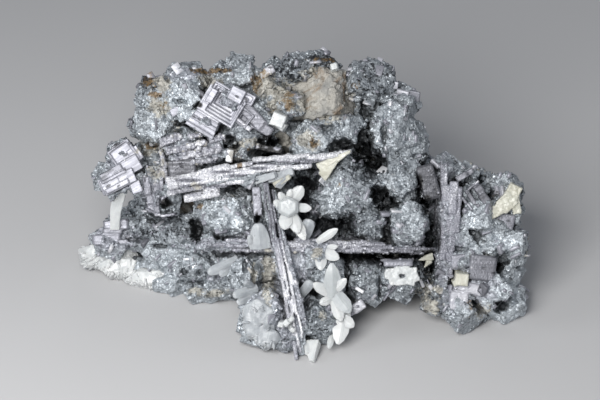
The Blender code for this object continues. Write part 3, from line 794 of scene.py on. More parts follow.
def keep_films(piece, spots, ways, hollow):
    """The attributes that the galena finishes read, for the piece's vertices."""
    back = np.clip(0.1 - ways @ np.array(OUT), 0, 1) > 0
    rock_dust = np.where(back, np.clip(drift(spots, 14 * MM, 3) * 1.6 - 0.1, 0, 0.8), 0)
    keep_attribute(piece, "tan", np.maximum(cover(spots, ways, TAN_DUST), rock_dust))
    keep_attribute(piece, "iron", cover(spots, ways, IRON_STAINS))
    keep_attribute(piece, "lilac", cover(spots, ways, LILAC_FILMS))
    # Painted shade: cavities count as crevices, and the finishes paint both black.
    cavity = np.clip(cover(spots, ways, CAVITIES, STEEP_FROM, 0.8) / CAVITY_DARK, 0, 1)
    hollow = np.maximum(hollow, cavity)
    shade = cover(spots, ways, LIGHTER) - cover(spots, ways, DARKER) + 0.10 * drift(spots, 7 * MM, 1)
    keep_attribute(piece, "shade", shade)
    keep_attribute(piece, "hollow", hollow)


print("stains:", len(TAN_DUST), "of dust,", len(IRON_STAINS), "of iron,", len(LILAC_FILMS), "lilac films")

# %% [markdown]
# ## How deep a point sits in a crevice
#
# Crevices are painted black as painted shade, for the light that doesn't get in. `hollows` measures
# how deep a point sits. From each point it looks out in a handful of directions and counts
# how many are blocked close by.

# %% Crevices
HOLLOW_LOOKS = 14  # directions looked along from each point
HOLLOW_REACH = 9 * MM  # what blocks the view further off than this doesn't count


def look_directions():
    """Directions spread over a half sphere round +Z, most of them near its middle."""
    ways = []
    for i in range(HOLLOW_LOOKS):
        height = math.sqrt(1 - (i + 0.5) / HOLLOW_LOOKS)
        turn = i * math.pi * (3 - math.sqrt(5))
        flat = math.sqrt(1 - height * height)
        ways.append(Vector((flat * math.cos(turn), flat * math.sin(turn), height)))
    return ways


LOOKS = look_directions()


def hollows(spots, ways, tree):
    """The share of directions that are blocked near each point, from 0 in the open to 1."""
    found = np.empty(len(spots))
    for i, (spot, way) in enumerate(zip(spots, ways)):
        way = Vector(way)
        turn = way.to_track_quat("Z", "Y")
        start = Vector(spot) + way * 0.6 * MM
        blocked = sum(tree.ray_cast(start, turn @ look, HOLLOW_REACH)[0] is not None for look in LOOKS)
        found[i] = blocked / HOLLOW_LOOKS
    return found


print("crevices are looked at along", HOLLOW_LOOKS, "directions")

# %% [markdown]
# ## Copies of small shapes
#
# What repeats is modelled once and copied. `tiled` builds one mesh with a copy of a pattern at every
# spot, and `spread_points` finds spots spread evenly over a piece's faces.

# %% Copying a pattern


def tiled(name, pattern, turns, spots, tones=None):
    """One mesh with a copy of the pattern at every spot, built from arrays.

    Each turn is a 3 by 3 matrix whose columns are the copy's own axes, at their length in metres.
    """
    corners = corners_of(pattern)
    count = len(spots)
    points = np.einsum("nij,vj->nvi", np.asarray(turns), corners) + np.asarray(spots)[:, None, :]
    loops = np.array([loop.vertex_index for loop in pattern.data.loops])
    starts = np.array([face.loop_start for face in pattern.data.polygons])
    mesh = bpy.data.meshes.new(name)
    mesh.vertices.add(count * len(corners))
    mesh.loops.add(count * len(loops))
    mesh.polygons.add(count * len(starts))
    shift = np.arange(count)[:, None]
    mesh.vertices.foreach_set("co", points.astype(np.float32).ravel())
    mesh.loops.foreach_set("vertex_index", (loops[None, :] + shift * len(corners)).ravel().astype(np.int32))
    mesh.polygons.foreach_set("loop_start", (starts[None, :] + shift * len(loops)).ravel().astype(np.int32))
    mesh.update(calc_edges=True)
    made = bpy.data.objects.new(name, mesh)
    bpy.context.scene.collection.objects.link(made)
    if tones is not None:
        keep_attribute(made, "tone", np.repeat(tones, len(corners)))
    return made


def per_corner(pattern, values):
    """One value for each copy, repeated for all the corners of the copy."""
    return np.repeat(values, len(pattern.data.vertices), 0)


def copy_films(piece, pattern, points, ways, hollow):
    """Films for a mesh of copies: each copy's are those of the point that it stands on."""
    keep_films(piece, *(per_corner(pattern, values) for values in (points, ways, hollow)))


def joined(name, pieces):
    """Several pieces made one."""
    bpy.ops.object.select_all(action="DESELECT")
    for piece in pieces:
        piece.select_set(True)
    bpy.context.view_layer.objects.active = pieces[0]
    bpy.ops.object.join()
    pieces[0].name = name
    pieces[0].data.name = name
    return pieces[0]


def spread_points(piece, spacing, seed):
    """Points spread evenly over a piece's faces, their normals, and the nearest corner of each."""
    piece.data.calc_loop_triangles()
    corner_of = np.empty(len(piece.data.loop_triangles) * 3, np.int32)
    piece.data.loop_triangles.foreach_get("vertices", corner_of)
    corner_of = corner_of.reshape(-1, 3)
    corners = corners_of(piece)
    a, b, c = (corners[corner_of[:, i]] for i in range(3))
    across = np.cross(b - a, c - a)
    area = np.linalg.norm(across, axis=1) / 2
    chance = np.random.default_rng(seed)
    count = int(area.sum() / spacing**2 * 3)
    picked = chance.choice(len(area), count, p=area / area.sum())
    u, v = chance.random(count), chance.random(count)
    over = u + v > 1
    u[over], v[over] = 1 - u[over], 1 - v[over]
    points = a[picked] + u[:, None] * (b - a)[picked] + v[:, None] * (c - a)[picked]
    _, first = np.unique(np.floor(points / spacing).astype(int), axis=0, return_index=True)
    ways = across[picked][first]
    ways /= np.linalg.norm(ways, axis=1)[:, None]
    return points[first], ways, corner_of[picked[first], 0]


def turns_from(quats):
    """The 3 by 3 turn of each quaternion."""
    quats = quats / np.linalg.norm(quats, axis=1)[:, None]
    w, x, y, z = quats.T
    rows = [[1 - 2 * (y * y + z * z), 2 * (x * y - z * w), 2 * (x * z + y * w)],
            [2 * (x * y + z * w), 1 - 2 * (x * x + z * z), 2 * (y * z - x * w)],
            [2 * (x * z - y * w), 2 * (y * z + x * w), 1 - 2 * (x * x + y * y)]]
    return np.array(rows).transpose(2, 0, 1)


def random_turns(chance, count):
    """Turns spread evenly over all directions."""
    return turns_from(chance.normal(size=(count, 4)))


def slight_turns(chance, count, stray):
    """Turns of about stray radians, each its own way."""
    return turns_from(np.column_stack([np.ones(count), chance.normal(0, stray / 2, (count, 3))]))


print("copying helpers ready")

# %% [markdown]
# ## A grain of galena
#
# Galena grows as cubes, and as cubes whose corners are cut off. Both start as the cube primitive. For
# the second, a vertex bevel of half an edge makes the cuts meet, and the corners that then fall
# together are merged. Each has only a few faces, because it is copied tens of thousands of times.

# %% Cube patterns


def unit_grain(cut):
    """A cube one metre wide; cut takes its corners off to the middle of each edge."""
    bpy.ops.object.select_all(action="DESELECT")
    bpy.ops.mesh.primitive_cube_add(size=1)
    made = bpy.context.object
    bpy.ops.object.mode_set(mode="EDIT")
    bpy.ops.mesh.select_all(action="SELECT")
    if cut:
        bpy.ops.mesh.bevel(offset=0.5, affect="VERTICES")
        bpy.ops.mesh.remove_doubles(threshold=0.01)
    bpy.ops.object.mode_set(mode="OBJECT")
    return made


cube_grain = unit_grain(False)
cut_grain = unit_grain(True)
print("grains:", len(cube_grain.data.polygons), "and", len(cut_grain.data.polygons), "faces")

# %% [markdown]
# ## Directions of growth
#
# Crystals that grow side by side on one lump line up with each other, which is why a whole patch
# flashes at once when the specimen is turned. Seeds scattered through the specimen each get a turn of
# their own, and every small crystal takes the turn of the seed nearest to it, give or take a little.

# %% Directions of growth
LUMP_REACH = 10 * MM  # about how far one direction of growth holds

chance = np.random.default_rng(5)
box_low, box_high = np.array(solid_box[0]), np.array(solid_box[1])
seed_count = int(np.prod((box_high - box_low) / LUMP_REACH))
growth_tree = KDTree(seed_count)
for number, spot in enumerate(box_low + chance.random((seed_count, 3)) * (box_high - box_low)):
    growth_tree.insert(spot, number)
growth_tree.balance()
seed_turns = random_turns(chance, seed_count)


def growth_turns(points, stray, chance):
    """Each point's directions of growth: those of its lump, a little astray."""
    lumps = seed_turns[[growth_tree.find(point)[1] for point in points]]
    return lumps @ slight_turns(chance, len(points), stray)


print("directions of growth:", seed_count)

# %% [markdown]
# ## The galena body
#
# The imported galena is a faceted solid. Cubes, half sunk and lined up lump by lump, give it the stepped
# look of galena. A voxel remesh then rebuilds all of it as one skin of small faces, as clay would be,
# and Displace modifiers push that skin in and out: angular chips first, then grains. `sink` then opens
# the cavities and draws the skin back behind the blades. A last modifier drops the faces that flat
# places don't need. Blades are left without cubes: a look straight through the solid finds where it is
# thin.

# %% Galena body
BODY_VOXEL = 0.55 * MM
FACES_KEPT = 0.32
FLATS_BEHIND = 1.1 * MM  # how far the body stays behind its blades and plates
STEP_SPACING = 4.6 * MM
STEP_LEAST = 2.0 * MM  # edge of the smallest cubes
STEP_MOST = 9.5 * MM
THIN = 4.5 * MM  # a solid no thicker than this is a blade

chips = relief("chips", "VORONOI", 2.6 * MM, distance_metric="MANHATTAN")
grains = relief("grains", "VORONOI", 1.2 * MM, distance_metric="CHEBYCHEV")


def on_floor(piece):
    """Nothing reaches below the flat base."""
    spots = corners_of(piece)
    spots[:, 2] = np.maximum(spots[:, 2], 0.0)
    put_corners(piece, spots)


def sink(piece):
    """Pushes the display side in at the cavities, and a little behind blades and plates."""
    spots, ways = corners_of(piece), normals_of(piece)
    behind = np.clip(cover(spots, ways, FLATS) * 1.6, 0, 1) * FLATS_BEHIND
    behind += cover(spots, ways, CAVITIES, ragged=0.8) * MM
    put_corners(piece, spots - behind[:, None] * np.array(OUT))


def thick_at(piece, points, ways):
    """Which points lie on a lump, and not on a blade."""
    tree = BVHTree.FromObject(piece, bpy.context.evaluated_depsgraph_get())
    starts = points - ways * 0.05 * MM
    return np.array([tree.ray_cast(Vector(a), Vector(-b), THIN)[0] is None for a, b in zip(starts, ways)])


def stepped(piece, seed):
    """The piece with lined-up cubes, half sunk, set all over its lumps and joined to it."""
    points, ways, _ = spread_points(piece, STEP_SPACING, seed)
    kept = thick_at(piece, points, ways) & (points[:, 2] > STEP_LEAST)
    kept &= cover(points, ways, FLATS) < 0.35
    points, ways = points[kept], ways[kept]
    chance = np.random.default_rng(seed)
    sizes = STEP_LEAST + (STEP_MOST - STEP_LEAST) * chance.random(len(points)) ** 1.8
    spots = points - ways * (sizes * chance.uniform(0.48, 0.62, len(points)))[:, None]
    turns = growth_turns(points, 0.06, chance) * sizes[:, None, None]
    cubes = tiled("steps", cube_grain, turns, spots)
    print("cubes:", len(points))
    return joined(piece.name, [piece, cubes])


body = sewn_copy("galena_cluster", "galena_body")
body = stepped(body, 41)
modified(body, "REMESH", mode="VOXEL", voxel_size=BODY_VOXEL)
pushed(body, chips, 0.50 * MM, 0.6)
pushed(body, grains, 0.42 * MM)
print("skin:", triangles(body), "triangles")
sink(body)
modified(body, "DECIMATE", ratio=FACES_KEPT)
on_floor(body)
body_tree = BVHTree.FromObject(body, bpy.context.evaluated_depsgraph_get())
body_spots = corners_of(body)
body_ways = normals_of(body)
body_hollow = hollows(body_spots, body_ways, body_tree)
keep_films(body, body_spots, body_ways, body_hollow)
keep_attribute(body, "tone", np.clip(0.32 + 0.5 * drift(body_spots, 1.6 * MM, 2), 0, 1))
finished(body, SUGAR, "galena", "galena_cluster")
print("crevices: mean", round(float(body_hollow.mean()), 3), "deepest", round(float(body_hollow.max()), 3))

# %% [markdown]
# ## Laths: what a skeletal blade is made of
#
# A skeletal blade grew faster along its edges than in its middle, so it is a pack of thin parallel
# laths with slits between them, each broken into stretches that end at different places. One plain
# lath is modelled by hand: a bar with chamfered edges. It is then copied along every line of a blade,
# stretched to the thickness there, and nudged a little by chance.

# %% The lath
LATH_CHAMFER = 0.07  # of a unit lath


def unit_lath():
    """A bar one metre each way with chamfered edges, which copies are stretched from."""
    bpy.ops.object.select_all(action="DESELECT")
    bpy.ops.mesh.primitive_cube_add(size=1)
    made = bpy.context.object
    made.name = "unit_lath"
    bpy.ops.object.mode_set(mode="EDIT")
    bpy.ops.mesh.select_all(action="SELECT")
    bpy.ops.mesh.bevel(offset=LATH_CHAMFER, segments=1)
    bpy.ops.object.mode_set(mode="OBJECT")
    return made


lath = unit_lath()
print("lath:", len(lath.data.polygons), "faces")

# %% [markdown]
# ## A line of laths
#
# By hand, the lath would be duplicated along an edge of the blade, each copy scaled and nudged. Here a
# row of numbers says where an edge starts and ends, and a seeded draw picks the lengths and nudges, so
# that the blade is broken up unevenly and still comes out the same on every run.

# %% Laths along a line
SHORT_STRETCH = 2.2  # millimetres; a lath breaks into stretches from this long
LONG_STRETCH = 8.5  # to this long
LATH_STRAY = 0.20  # how far a stretch lies off its line
LATH_STEP = 1.3  # how far back a stretch may sit


def lath_copies(rows, chance):
    """The turns and spots of the lath's copies along each row's line.

    A row is a start and an end, each as across, up and out of the front edge, then the thickness at
    both ends and the depth, all in millimetres.
    """
    turns, spots = [], []
    for start, end, thick_start, thick_end, depth in rows:
        start, end = Vector(start), Vector(end)
        length = (end - start).length
        along = (end - start).normalized()
        side = Vector((-along.y, along.x, 0)).normalized()
        deep = along.cross(side)
        at = 0.0
        while at < length - 0.4:
            stretch = min(chance.uniform(SHORT_STRETCH, LONG_STRETCH), length - at)
            share = (at + stretch / 2) / length
            thick = (thick_start + (thick_end - thick_start) * share) * chance.uniform(0.70, 1.10)
            middle = start + along * (at + stretch / 2) + side * chance.normal(0, LATH_STRAY)
            front = -LATH_STEP * chance.random() ** 1.5
            middle = middle + deep * (front - depth / 2)
            gap = chance.uniform(-0.15, 0.35)
            axes = (along * (stretch - gap), side * thick, deep * depth)
            turns.append([slope_way(axis) for axis in axes])
            spots.append(place(*middle))
            at += stretch
    return np.array(turns).transpose(0, 2, 1), np.array(spots)


def slope_way(way):
    """A direction given as across, up and out in millimetres, turned into the frame in metres."""
    return (ACROSS * way[0] + UP * way[1] + OUT * way[2]) * MM


print("stretches", SHORT_STRETCH, "to", LONG_STRETCH, "mm")

# %% [markdown]
# ## From laths to a weathered blade
#
# The copied laths are fused by a fine voxel remesh, so that they are one closed skin as in the real
# blade. A Displace modifier with a noise texture eats small pits into it, and a second one roughens
# the edges. The pits are real holes, so they look right from every side.

# %% Weathered blades
BLADE_VOXEL = 0.30 * MM

pits = relief("pits", "CLOUDS", 0.75 * MM, noise_depth=1, noise_type="HARD_NOISE", contrast=2.6)
nibbles = relief("nibbles", "CLOUDS", 1.6 * MM, noise_depth=2)


def weathered(piece, voxel, pit_depth, wear):
    """The piece fused into one skin, then pitted and worn."""
    modified(piece, "REMESH", mode="VOXEL", voxel_size=voxel)
    pushed(piece, nibbles, wear, 0.55)
    if pit_depth:
        pushed(piece, pits, -pit_depth, 0.72)
    on_floor(piece)
    return piece


def keep_grain(piece, along):
    """Places along and across a blade, so that its growth lines follow it. along is a frame direction."""
    along = Vector(along).normalized()
    side = OUT.cross(along).normalized()
    axes = np.array([along, side, along.cross(side)])
    keep_attribute(piece, "grain", corners_of(piece) @ axes.T)


def keep_looks(piece, along, tone, spread=0.10, bright=(), dark=()):
    """Everything that the plate finish reads: films, painted crevice shade, growth lines and tone."""
    spots, ways = corners_of(piece), normals_of(piece)
    keep_films(piece, spots, ways, hollows(spots, ways, body_tree) * 0.7)
    keep_grain(piece, along)
    tones = tone + spread * drift(spots, 2.4 * MM, 5) + cover(spots, ways, bright) - cover(spots, ways, dark)
    if "tone" in piece.data.attributes:
        piece.data.attributes.remove(piece.data.attributes["tone"])
    keep_attribute(piece, "tone", np.clip(tones, 0, 1.2))


def blade(name, rows, seed, tone, finish, wear=0.35 * MM, pit_depth=0.24 * MM, bright=(), dark=()):
    """A whole blade: laths copied along its rows, fused, weathered and finished."""
    turns, spots = lath_copies(rows, np.random.default_rng(seed))
    piece = tiled(name, lath, turns, spots)
    weathered(piece, BLADE_VOXEL, pit_depth, wear)
    first = rows[0]
    keep_looks(piece, slope_way(Vector(first[1]) - Vector(first[0])), tone, bright=bright, dark=dark)
    return finished(piece, finish, "galena")


print("blade voxel", BLADE_VOXEL * 1000, "mm")

# %% [markdown]
# ## The upper blade
#
# The brightest part of the specimen: a blade that rises from left to right in front of the middle, its
# near-white tone painted light for its lit face. Its front edge shows a thin ledge, a broad pitted band,
# and a short bar below it.

# %% Upper blade
UPPER_BLADE = [
    ((-44.0, 4.9, -2.8), (-15.0, 9.9, -2.5), 3.4, 2.6, 7),
    ((-44.6, 7.1, -3.6), (-16.0, 12.2, -3.4), 0.8, 0.8, 8),
    ((-44.3, 2.4, -4.2), (-19.0, 6.4, -4.0), 1.2, 0.9, 6),
    ((-32.5, 9.3, -2.0), (-23.8, 11.2, -2.2), 2.0, 1.8, 5),
    ((-15.6, 13.2, -3.4), (3.4, 15.0, -3.8), 1.5, 1.0, 8),
    ((-15.8, 11.5, -3.0), (4.6, 13.4, -3.6), 0.9, 0.8, 8),
    ((-15.8, 9.7, -2.6), (3.8, 11.8, -3.4), 1.6, 1.2, 6),
    ((2.8, 13.5, -3.8), (17.2, 16.2, -5.0), 2.0, 0.6, 7),
    ((-38.6, 0.4, -4.4), (-27.2, 2.9, -4.6), 2.8, 2.4, 6),
]
# Slits painted dark as painted shade, and a darker stretch: across, up, half width, half height, how much
# darker.
UPPER_BLADE_DARK = [
    (-38, 3.0, 5.0, 1.6, 0.25), (-6, 12.4, 9.0, 0.5, 0.6), (-31, 4.6, 7.0, 0.5, 0.6),
    (-20, 8.0, 4.0, 0.5, 0.6), (-37, 6.6, 3.6, 0.5, 0.6), (-26, 9.4, 3.0, 0.4, 0.6),
    (3, 13.2, 4.0, 0.4, 0.6), (-14, 10.6, 2.6, 0.4, 0.6),
]
blade("upper_blade", UPPER_BLADE, 11, 0.84, BLADE, wear=0.60 * MM, pit_depth=0.36 * MM,
      dark=UPPER_BLADE_DARK)

# %% [markdown]
# ## The upright blade
#
# It leans to the right on its way down to the nose, and ends in a prong beside an open slit. Its ribs
# stand apart, so each is a row of its own with a gap to the next, and it is only lightly worn.

# %% Upright blade
UPRIGHT_BLADE = [
    ((-12.3, 6.0, -5.6), (-9.2, -14.0, -4.4), 0.7, 0.8, 10),
    ((-10.9, 6.0, -4.2), (-7.8, -14.0, -3.6), 0.7, 0.8, 10),
    ((-9.5, 4.0, -5.0), (-6.4, -14.0, -3.2), 0.6, 0.8, 9),
    ((-8.8, -13.0, -3.8), (-1.7, -49.0, -0.6), 0.9, 0.9, 9),
    ((-7.5, -13.0, -2.6), (-0.4, -49.0, 0.2), 0.9, 0.8, 9),
    ((-6.2, -13.0, -2.4), (0.9, -46.0, 0.4), 0.8, 0.8, 8),
    ((-4.9, -18.0, -3.1), (2.0, -41.0, -0.1), 0.6, 0.6, 7),
    ((-2.4, -44.5, 0.2), (-1.2, -53.4, 0.2), 1.3, 0.9, 6),
    ((-0.4, -46.5, 0.0), (0.5, -51.5, -0.4), 0.8, 0.6, 5),
]
blade("upright_blade", UPRIGHT_BLADE, 12, 0.56, BLADE, wear=0.28 * MM, pit_depth=0.14 * MM,
      bright=[(0, -39, 2.2, 7.0, 0.45), (-3.5, -25, 2.0, 9.0, 0.34)],
      dark=[(-10.5, -3, 4.0, 9.0, 0.30)])

# %% [markdown]
# ## The level blade
#
# It passes behind the upright one and is the longest of all, so it is given in three stretches: one
# left of the crossing, one right of it, and a thin end that runs up to the right-hand blade, its lower
# edge painted dark as painted shade.

# %% Level blade
LEVEL_BLADE = [
    ((-25.0, -13.8, -7.2), (1.0, -14.2, -5.2), 0.8, 1.0, 9),
    ((-31.0, -15.2, -7.4), (1.0, -15.5, -5.0), 0.9, 1.1, 9),
    ((-23.0, -16.9, -7.6), (0.0, -16.8, -5.6), 0.7, 0.9, 9),
    ((-1.6, -13.5, -5.4), (28.0, -14.8, -6.8), 0.9, 0.7, 9),
    ((-1.6, -14.7, -4.6), (31.0, -15.6, -6.2), 1.2, 0.9, 9),
    ((-1.6, -15.9, -5.2), (34.0, -16.5, -6.8), 0.9, 0.8, 9),
    ((-1.6, -17.0, -4.8), (30.0, -17.4, -6.4), 0.9, 0.7, 9),
    ((28.0, -15.9, -7.4), (46.0, -16.5, -8.4), 0.8, 0.6, 10),
    ((28.5, -17.1, -7.2), (44.0, -17.5, -8.6), 0.9, 0.5, 10),
]
blade("level_blade", LEVEL_BLADE, 13, 0.50, BLADE, wear=0.50 * MM,
      bright=[(8, -15, 12.0, 1.5, 0.15)], dark=[(38, -17.5, 9.0, 1.2, 0.25)])

# %% [markdown]
# ## The right-hand blade
#
# A stout upright plate splits the right wing from the rest. Its laths are thick and lie close, so it
# gets the smoother plate finish. A thin dark sliver, set far back, fills the gap at its left side.

# %% Right upright blade
RIGHT_BLADE = [
    ((49.0, 12.5, -10.8), (47.9, -36.5, -8.8), 2.9, 2.7, 12),
    ((51.8, 6.5, -10.3), (50.4, -26.0, -8.9), 2.9, 2.4, 10),
    ((54.0, 4.5, -10.8), (52.8, -11.0, -9.8), 2.2, 1.6, 8),
    ((46.5, 6.0, -14.5), (46.2, -12.0, -13.5), 1.1, 1.1, 9),
    ((50.4, -28.5, -8.4), (50.8, -36.0, -8.0), 1.3, 1.0, 8),
]
# The dark oval down its left edge is painted shade on the side face.
blade("right_blade", RIGHT_BLADE, 14, 0.44, PLATE, wear=0.30 * MM, pit_depth=0.18 * MM,
      bright=[(51, 3, 2.5, 7.0, 0.12)], dark=[(46.4, -3, 1.0, 12.0, 0.5)])

# %% [markdown]
# ## The left plate and the ledges
#
# At the left end of the upper blade stands a dark upright plate. Above the blade lie ledges: short
# broken ends of plates, one over another like roof tiles. Both are made as the blades are, the plate
# with little wear so that it stays flat, the ledges with much so that their ends crumble.

# %% Left upright plate and the ledges over the upper blade
LEFT_PLATE = [
    ((-51.6, 8.0, -12.0), (-50.4, -4.2, -13.0), 2.4, 2.2, 6),
    ((-49.4, 10.0, -11.4), (-48.0, -5.6, -12.6), 2.3, 2.2, 6),
    ((-47.2, 10.5, -11.2), (-46.2, -1.5, -12.0), 2.2, 1.6, 6),
    ((-52.4, -2.8, -12.2), (-46.6, -5.6, -11.8), 0.7, 0.6, 5),
    ((-46.8, -5.6, -11.8), (-41.8, -4.8, -11.4), 0.8, 0.6, 5),
]
LEDGES = [
    ((-46.8, 19.0, -8.8), (-40.0, 21.4, -9.0), 2.8, 2.0, 7),
    ((-41.0, 20.9, -9.6), (-33.0, 22.0, -9.6), 1.5, 1.1, 6),
    ((-38.2, 18.3, -7.4), (-31.8, 19.8, -7.6), 1.7, 1.3, 7),
    ((-44.8, 16.4, -8.2), (-37.0, 17.6, -8.6), 1.5, 1.9, 6),
    ((-39.6, 14.6, -7.6), (-31.0, 16.8, -7.0), 2.9, 2.5, 7),
    ((-32.4, 15.6, -7.6), (-26.2, 17.6, -7.8), 2.6, 2.2, 7),
    ((-43.0, 13.0, -7.8), (-37.2, 13.8, -7.6), 1.1, 0.9, 6),
    ((-47.0, 17.0, -8.6), (-44.2, 5.2, -8.2), 1.6, 1.3, 6),
    ((-30.4, 20.0, -7.8), (-25.4, 21.4, -7.8), 1.9, 1.5, 6),
    ((-36.8, 12.4, -7.0), (-27.8, 14.0, -7.2), 0.9, 0.8, 6),
]
blade("left_plate", LEFT_PLATE, 15, 0.34, PLATE, wear=0.25 * MM, pit_depth=0.08 * MM,
      bright=[(-49.5, -5.6, 4.0, 0.8, 0.35)])
blade("ledges", LEDGES, 16, 0.54, PLATE, wear=0.60 * MM,
      bright=[(-35, 19.0, 3.4, 0.9, 0.35), (-34, 15.0, 6.0, 1.4, 0.16)], dark=[(-39.5, 19.5, 2.0, 0.9, 0.4)])

# %% [markdown]
# ## Flat plates
#
# Some faces are single flat plates. They are laths too, but broad ones: short, wide and turned by an
# angle on the slope. Each has a tone painted in. The darkest are a painted reflection of the dark
# surround, and the near-white one at (20, -30.2) is a painted glint.

# %% Flat plates
# Each row: across, up, front, width, height, depth, roll in degrees, tone.
PLATES = [
    (61.3, -22.8, -6.2, 9.0, 8.6, 6, -8, 0.20), (69.2, -7.2, -12.0, 6.4, 5.6, 3, -14, 0.34),
    (56.8, -29.4, -7.4, 10.0, 3.8, 6, -16, 0.62), (63.2, -30.2, -8.6, 8.0, 5.8, 5, -12, 0.60),
    (53.4, -34.4, -7.6, 6.2, 7.4, 5, -7, 0.62), (53.6, -20.6, -8.2, 5.4, 4.6, 5, 4, 0.40),
    (-15.8, 28.2, -7.6, 10.6, 4.4, 6, -47, 0.34), (-19.4, 25.6, -7.0, 7.2, 1.8, 6, -36, 0.62),
    (-12.2, 24.0, -8.0, 6.4, 3.4, 5, -30, 0.30), (-39.6, 10.6, -8.2, 9.6, 6.6, 6, 9, 0.06),
    (43.4, 6.0, -9.6, 5.8, 12.0, 6, 16, 0.05), (-64.4, -10.6, -30.2, 7.0, 1.6, 5, 1, 0.30),
    (-66.4, -13.6, -30.2, 9.6, 3.6, 7, 2, 0.44), (-63.2, -8.6, -30.4, 8.6, 3.6, 7, 6, 0.42),
    (-14.4, -0.4, -5.8, 2.9, 9.6, 3, 4, 0.38), (-61.0, -15.0, -30.0, 4.0, 3.0, 5, -2, 0.30),
    (19.6, -35.8, -6.6, 4.6, 3.4, 6, 36, 0.66), (16.8, -37.2, -6.8, 3.6, 3.6, 6, 30, 0.50),
    (32.6, -20.2, -7.6, 11.0, 1.0, 6, 0, 0.16), (-10.2, 17.2, -9.4, 9.4, 2.1, 3, -12, 0.52),
    (-23.6, 14.8, -6.4, 2.3, 4.2, 5, -10, 1.00), (33.0, -21.4, -6.6, 9.6, 1.9, 5, 0, 0.42),
    (20.0, -30.2, -6.4, 3.2, 1.2, 3, -30, 0.95), (-10.4, 43.8, -12.0, 3.4, 2.8, 4, 28, 0.62),
    (-12.2, 42.2, -12.0, 2.4, 2.4, 4, 12, 0.56),
]


def plates(name, rows, voxel, wear):
    """Flat plates as one piece, each with its own tone, chamfered, then fused by a remesh and lightly worn.
    """
    turns, spots, tones = [], [], []
    for across, up, front, width, height, depth, roll, tone in rows:
        angle = math.radians(roll)
        along = Vector((math.cos(angle), math.sin(angle), 0))
        side = Vector((-along.y, along.x, 0))
        turns.append([slope_way(along * width), slope_way(side * height), slope_way((0, 0, depth))])
        spots.append(place(across, up, front - depth / 2))
        tones.append(tone)
    piece = tiled(name, lath, np.array(turns).transpose(0, 2, 1), np.array(spots), np.array(tones))
    near = BVHTree.FromObject(piece, bpy.context.evaluated_depsgraph_get())
    face_tones = np.repeat(tones, len(lath.data.polygons))
    weathered(piece, voxel, 0.05 * MM, wear)
    corners = corners_of(piece)
    own = np.array([face_tones[near.find_nearest(Vector(spot))[2]] for spot in corners])
    keep_looks(piece, slope_way((1, 0, 0)), own, spread=0.07)
    return finished(piece, PLATE, "galena")


plates("plates", PLATES, 0.34 * MM, 0.12 * MM)

# %% [markdown]
# ## Fanned plates
#
# On the right wing plates stand like the pages of an open book: dark faces, with a painted highlight
# along their front edges. They are laths at several angles, hardly worn and not pitted, so they stay crisp.

# %% Fanned dark plates of the right wing
FAN = [
    ((52.6, 6.6, -10.6), (58.4, 9.9, -10.4), 2.1, 1.9, 6),
    ((55.6, 2.2, -9.2), (60.2, 6.6, -9.0), 0.9, 0.8, 6),
    ((54.6, 1.2, -9.4), (58.0, -3.6, -9.0), 1.1, 0.9, 8),
    ((56.6, 2.4, -8.9), (60.0, -2.6, -8.5), 1.6, 1.3, 8),
    ((59.4, 4.6, -8.3), (63.4, -0.8, -8.1), 4.2, 3.6, 8),
]
blade("fanned_plates", FAN, 18, 0.22, PLATE, wear=0.15 * MM, pit_depth=0.0,
      bright=[(58.2, 6.8, 2.6, 1.2, 0.6), (57.0, -2.4, 1.0, 1.6, 0.35)], dark=[(61, 2, 2.0, 2.4, 0.1)])

# %% [markdown]
# ## Stepped cubes
#
# A hopper crystal is a cube whose faces sank in steps while its edges grew on. By hand: add a cube,
# take its front face, inset it, push it in, and do that again and again, each time a little off
# centre.

# %% Hopper builder


def slope_matrix(across, up, out, roll):
    """Where a piece modelled at the origin, in millimetres, goes on the slope."""
    turn = Matrix((ACROSS, UP, OUT)).transposed().to_4x4() @ Matrix.Rotation(math.radians(roll), 4, "Z")
    return Matrix.Translation(place(across, up, out)) @ turn @ Matrix.Scale(MM, 4)


def pick_face(piece, way):
    """In edit mode, selects the face that looks furthest along a direction, at its outermost."""
    bpy.ops.mesh.select_all(action="DESELECT")
    bpy.ops.object.mode_set(mode="OBJECT")
    way = Vector(way)
    facing = [f for f in piece.data.polygons if f.normal.dot(way) > 0.9]
    best = max(facing, key=lambda f: f.center.dot(way))
    best.select = True
    bpy.ops.object.mode_set(mode="EDIT")


def hopper(across, up, front, width, height, depth, roll, steps, step, fall, drift_x=0.0, drift_y=0.0,
           sides=((0, 0, 1),)):
    """A stepped cube on the slope. Its chosen faces sink in steps that drift off centre."""
    bpy.ops.object.select_all(action="DESELECT")
    bpy.ops.mesh.primitive_cube_add(size=1, scale=(width, height, depth))
    made = bpy.context.object
    bpy.ops.object.transform_apply(location=False, rotation=False, scale=True)
    bpy.ops.object.mode_set(mode="EDIT")
    for way in sides:
        pick_face(made, way)
        for i in range(steps):
            bpy.ops.mesh.inset(thickness=step, depth=0)
            sunk = -Vector(way) * fall
            slide = Vector((drift_x, drift_y, 0)) if way[2] else Vector((drift_x, 0, 0))
            bpy.ops.mesh.extrude_region_move(TRANSFORM_OT_translate={"value": sunk})
            bpy.ops.transform.translate(value=slide)
    bpy.ops.object.mode_set(mode="OBJECT")
    made.data.transform(slope_matrix(across, up, front - depth / 2, roll))
    modified(made, "BEVEL", width=0.10 * MM, segments=1, limit_method="ANGLE")
    return made


def rolled(roll):
    """The direction on the slope that a piece turned by roll degrees lies along."""
    return slope_way((math.cos(math.radians(roll)), math.sin(math.radians(roll)), 0))


FACE = (0, 0, 1)
TOP = (0, 1, 0)
print("hopper builder ready")

# %% [markdown]
# ## The hoppers at the upper left
#
# A large hopper has sunk in four steps on its front and its top, and a smaller one lies below it. Plain
# cubes grow from the large one's rim. Beside it lie bars, every second one set back to leave grooves.

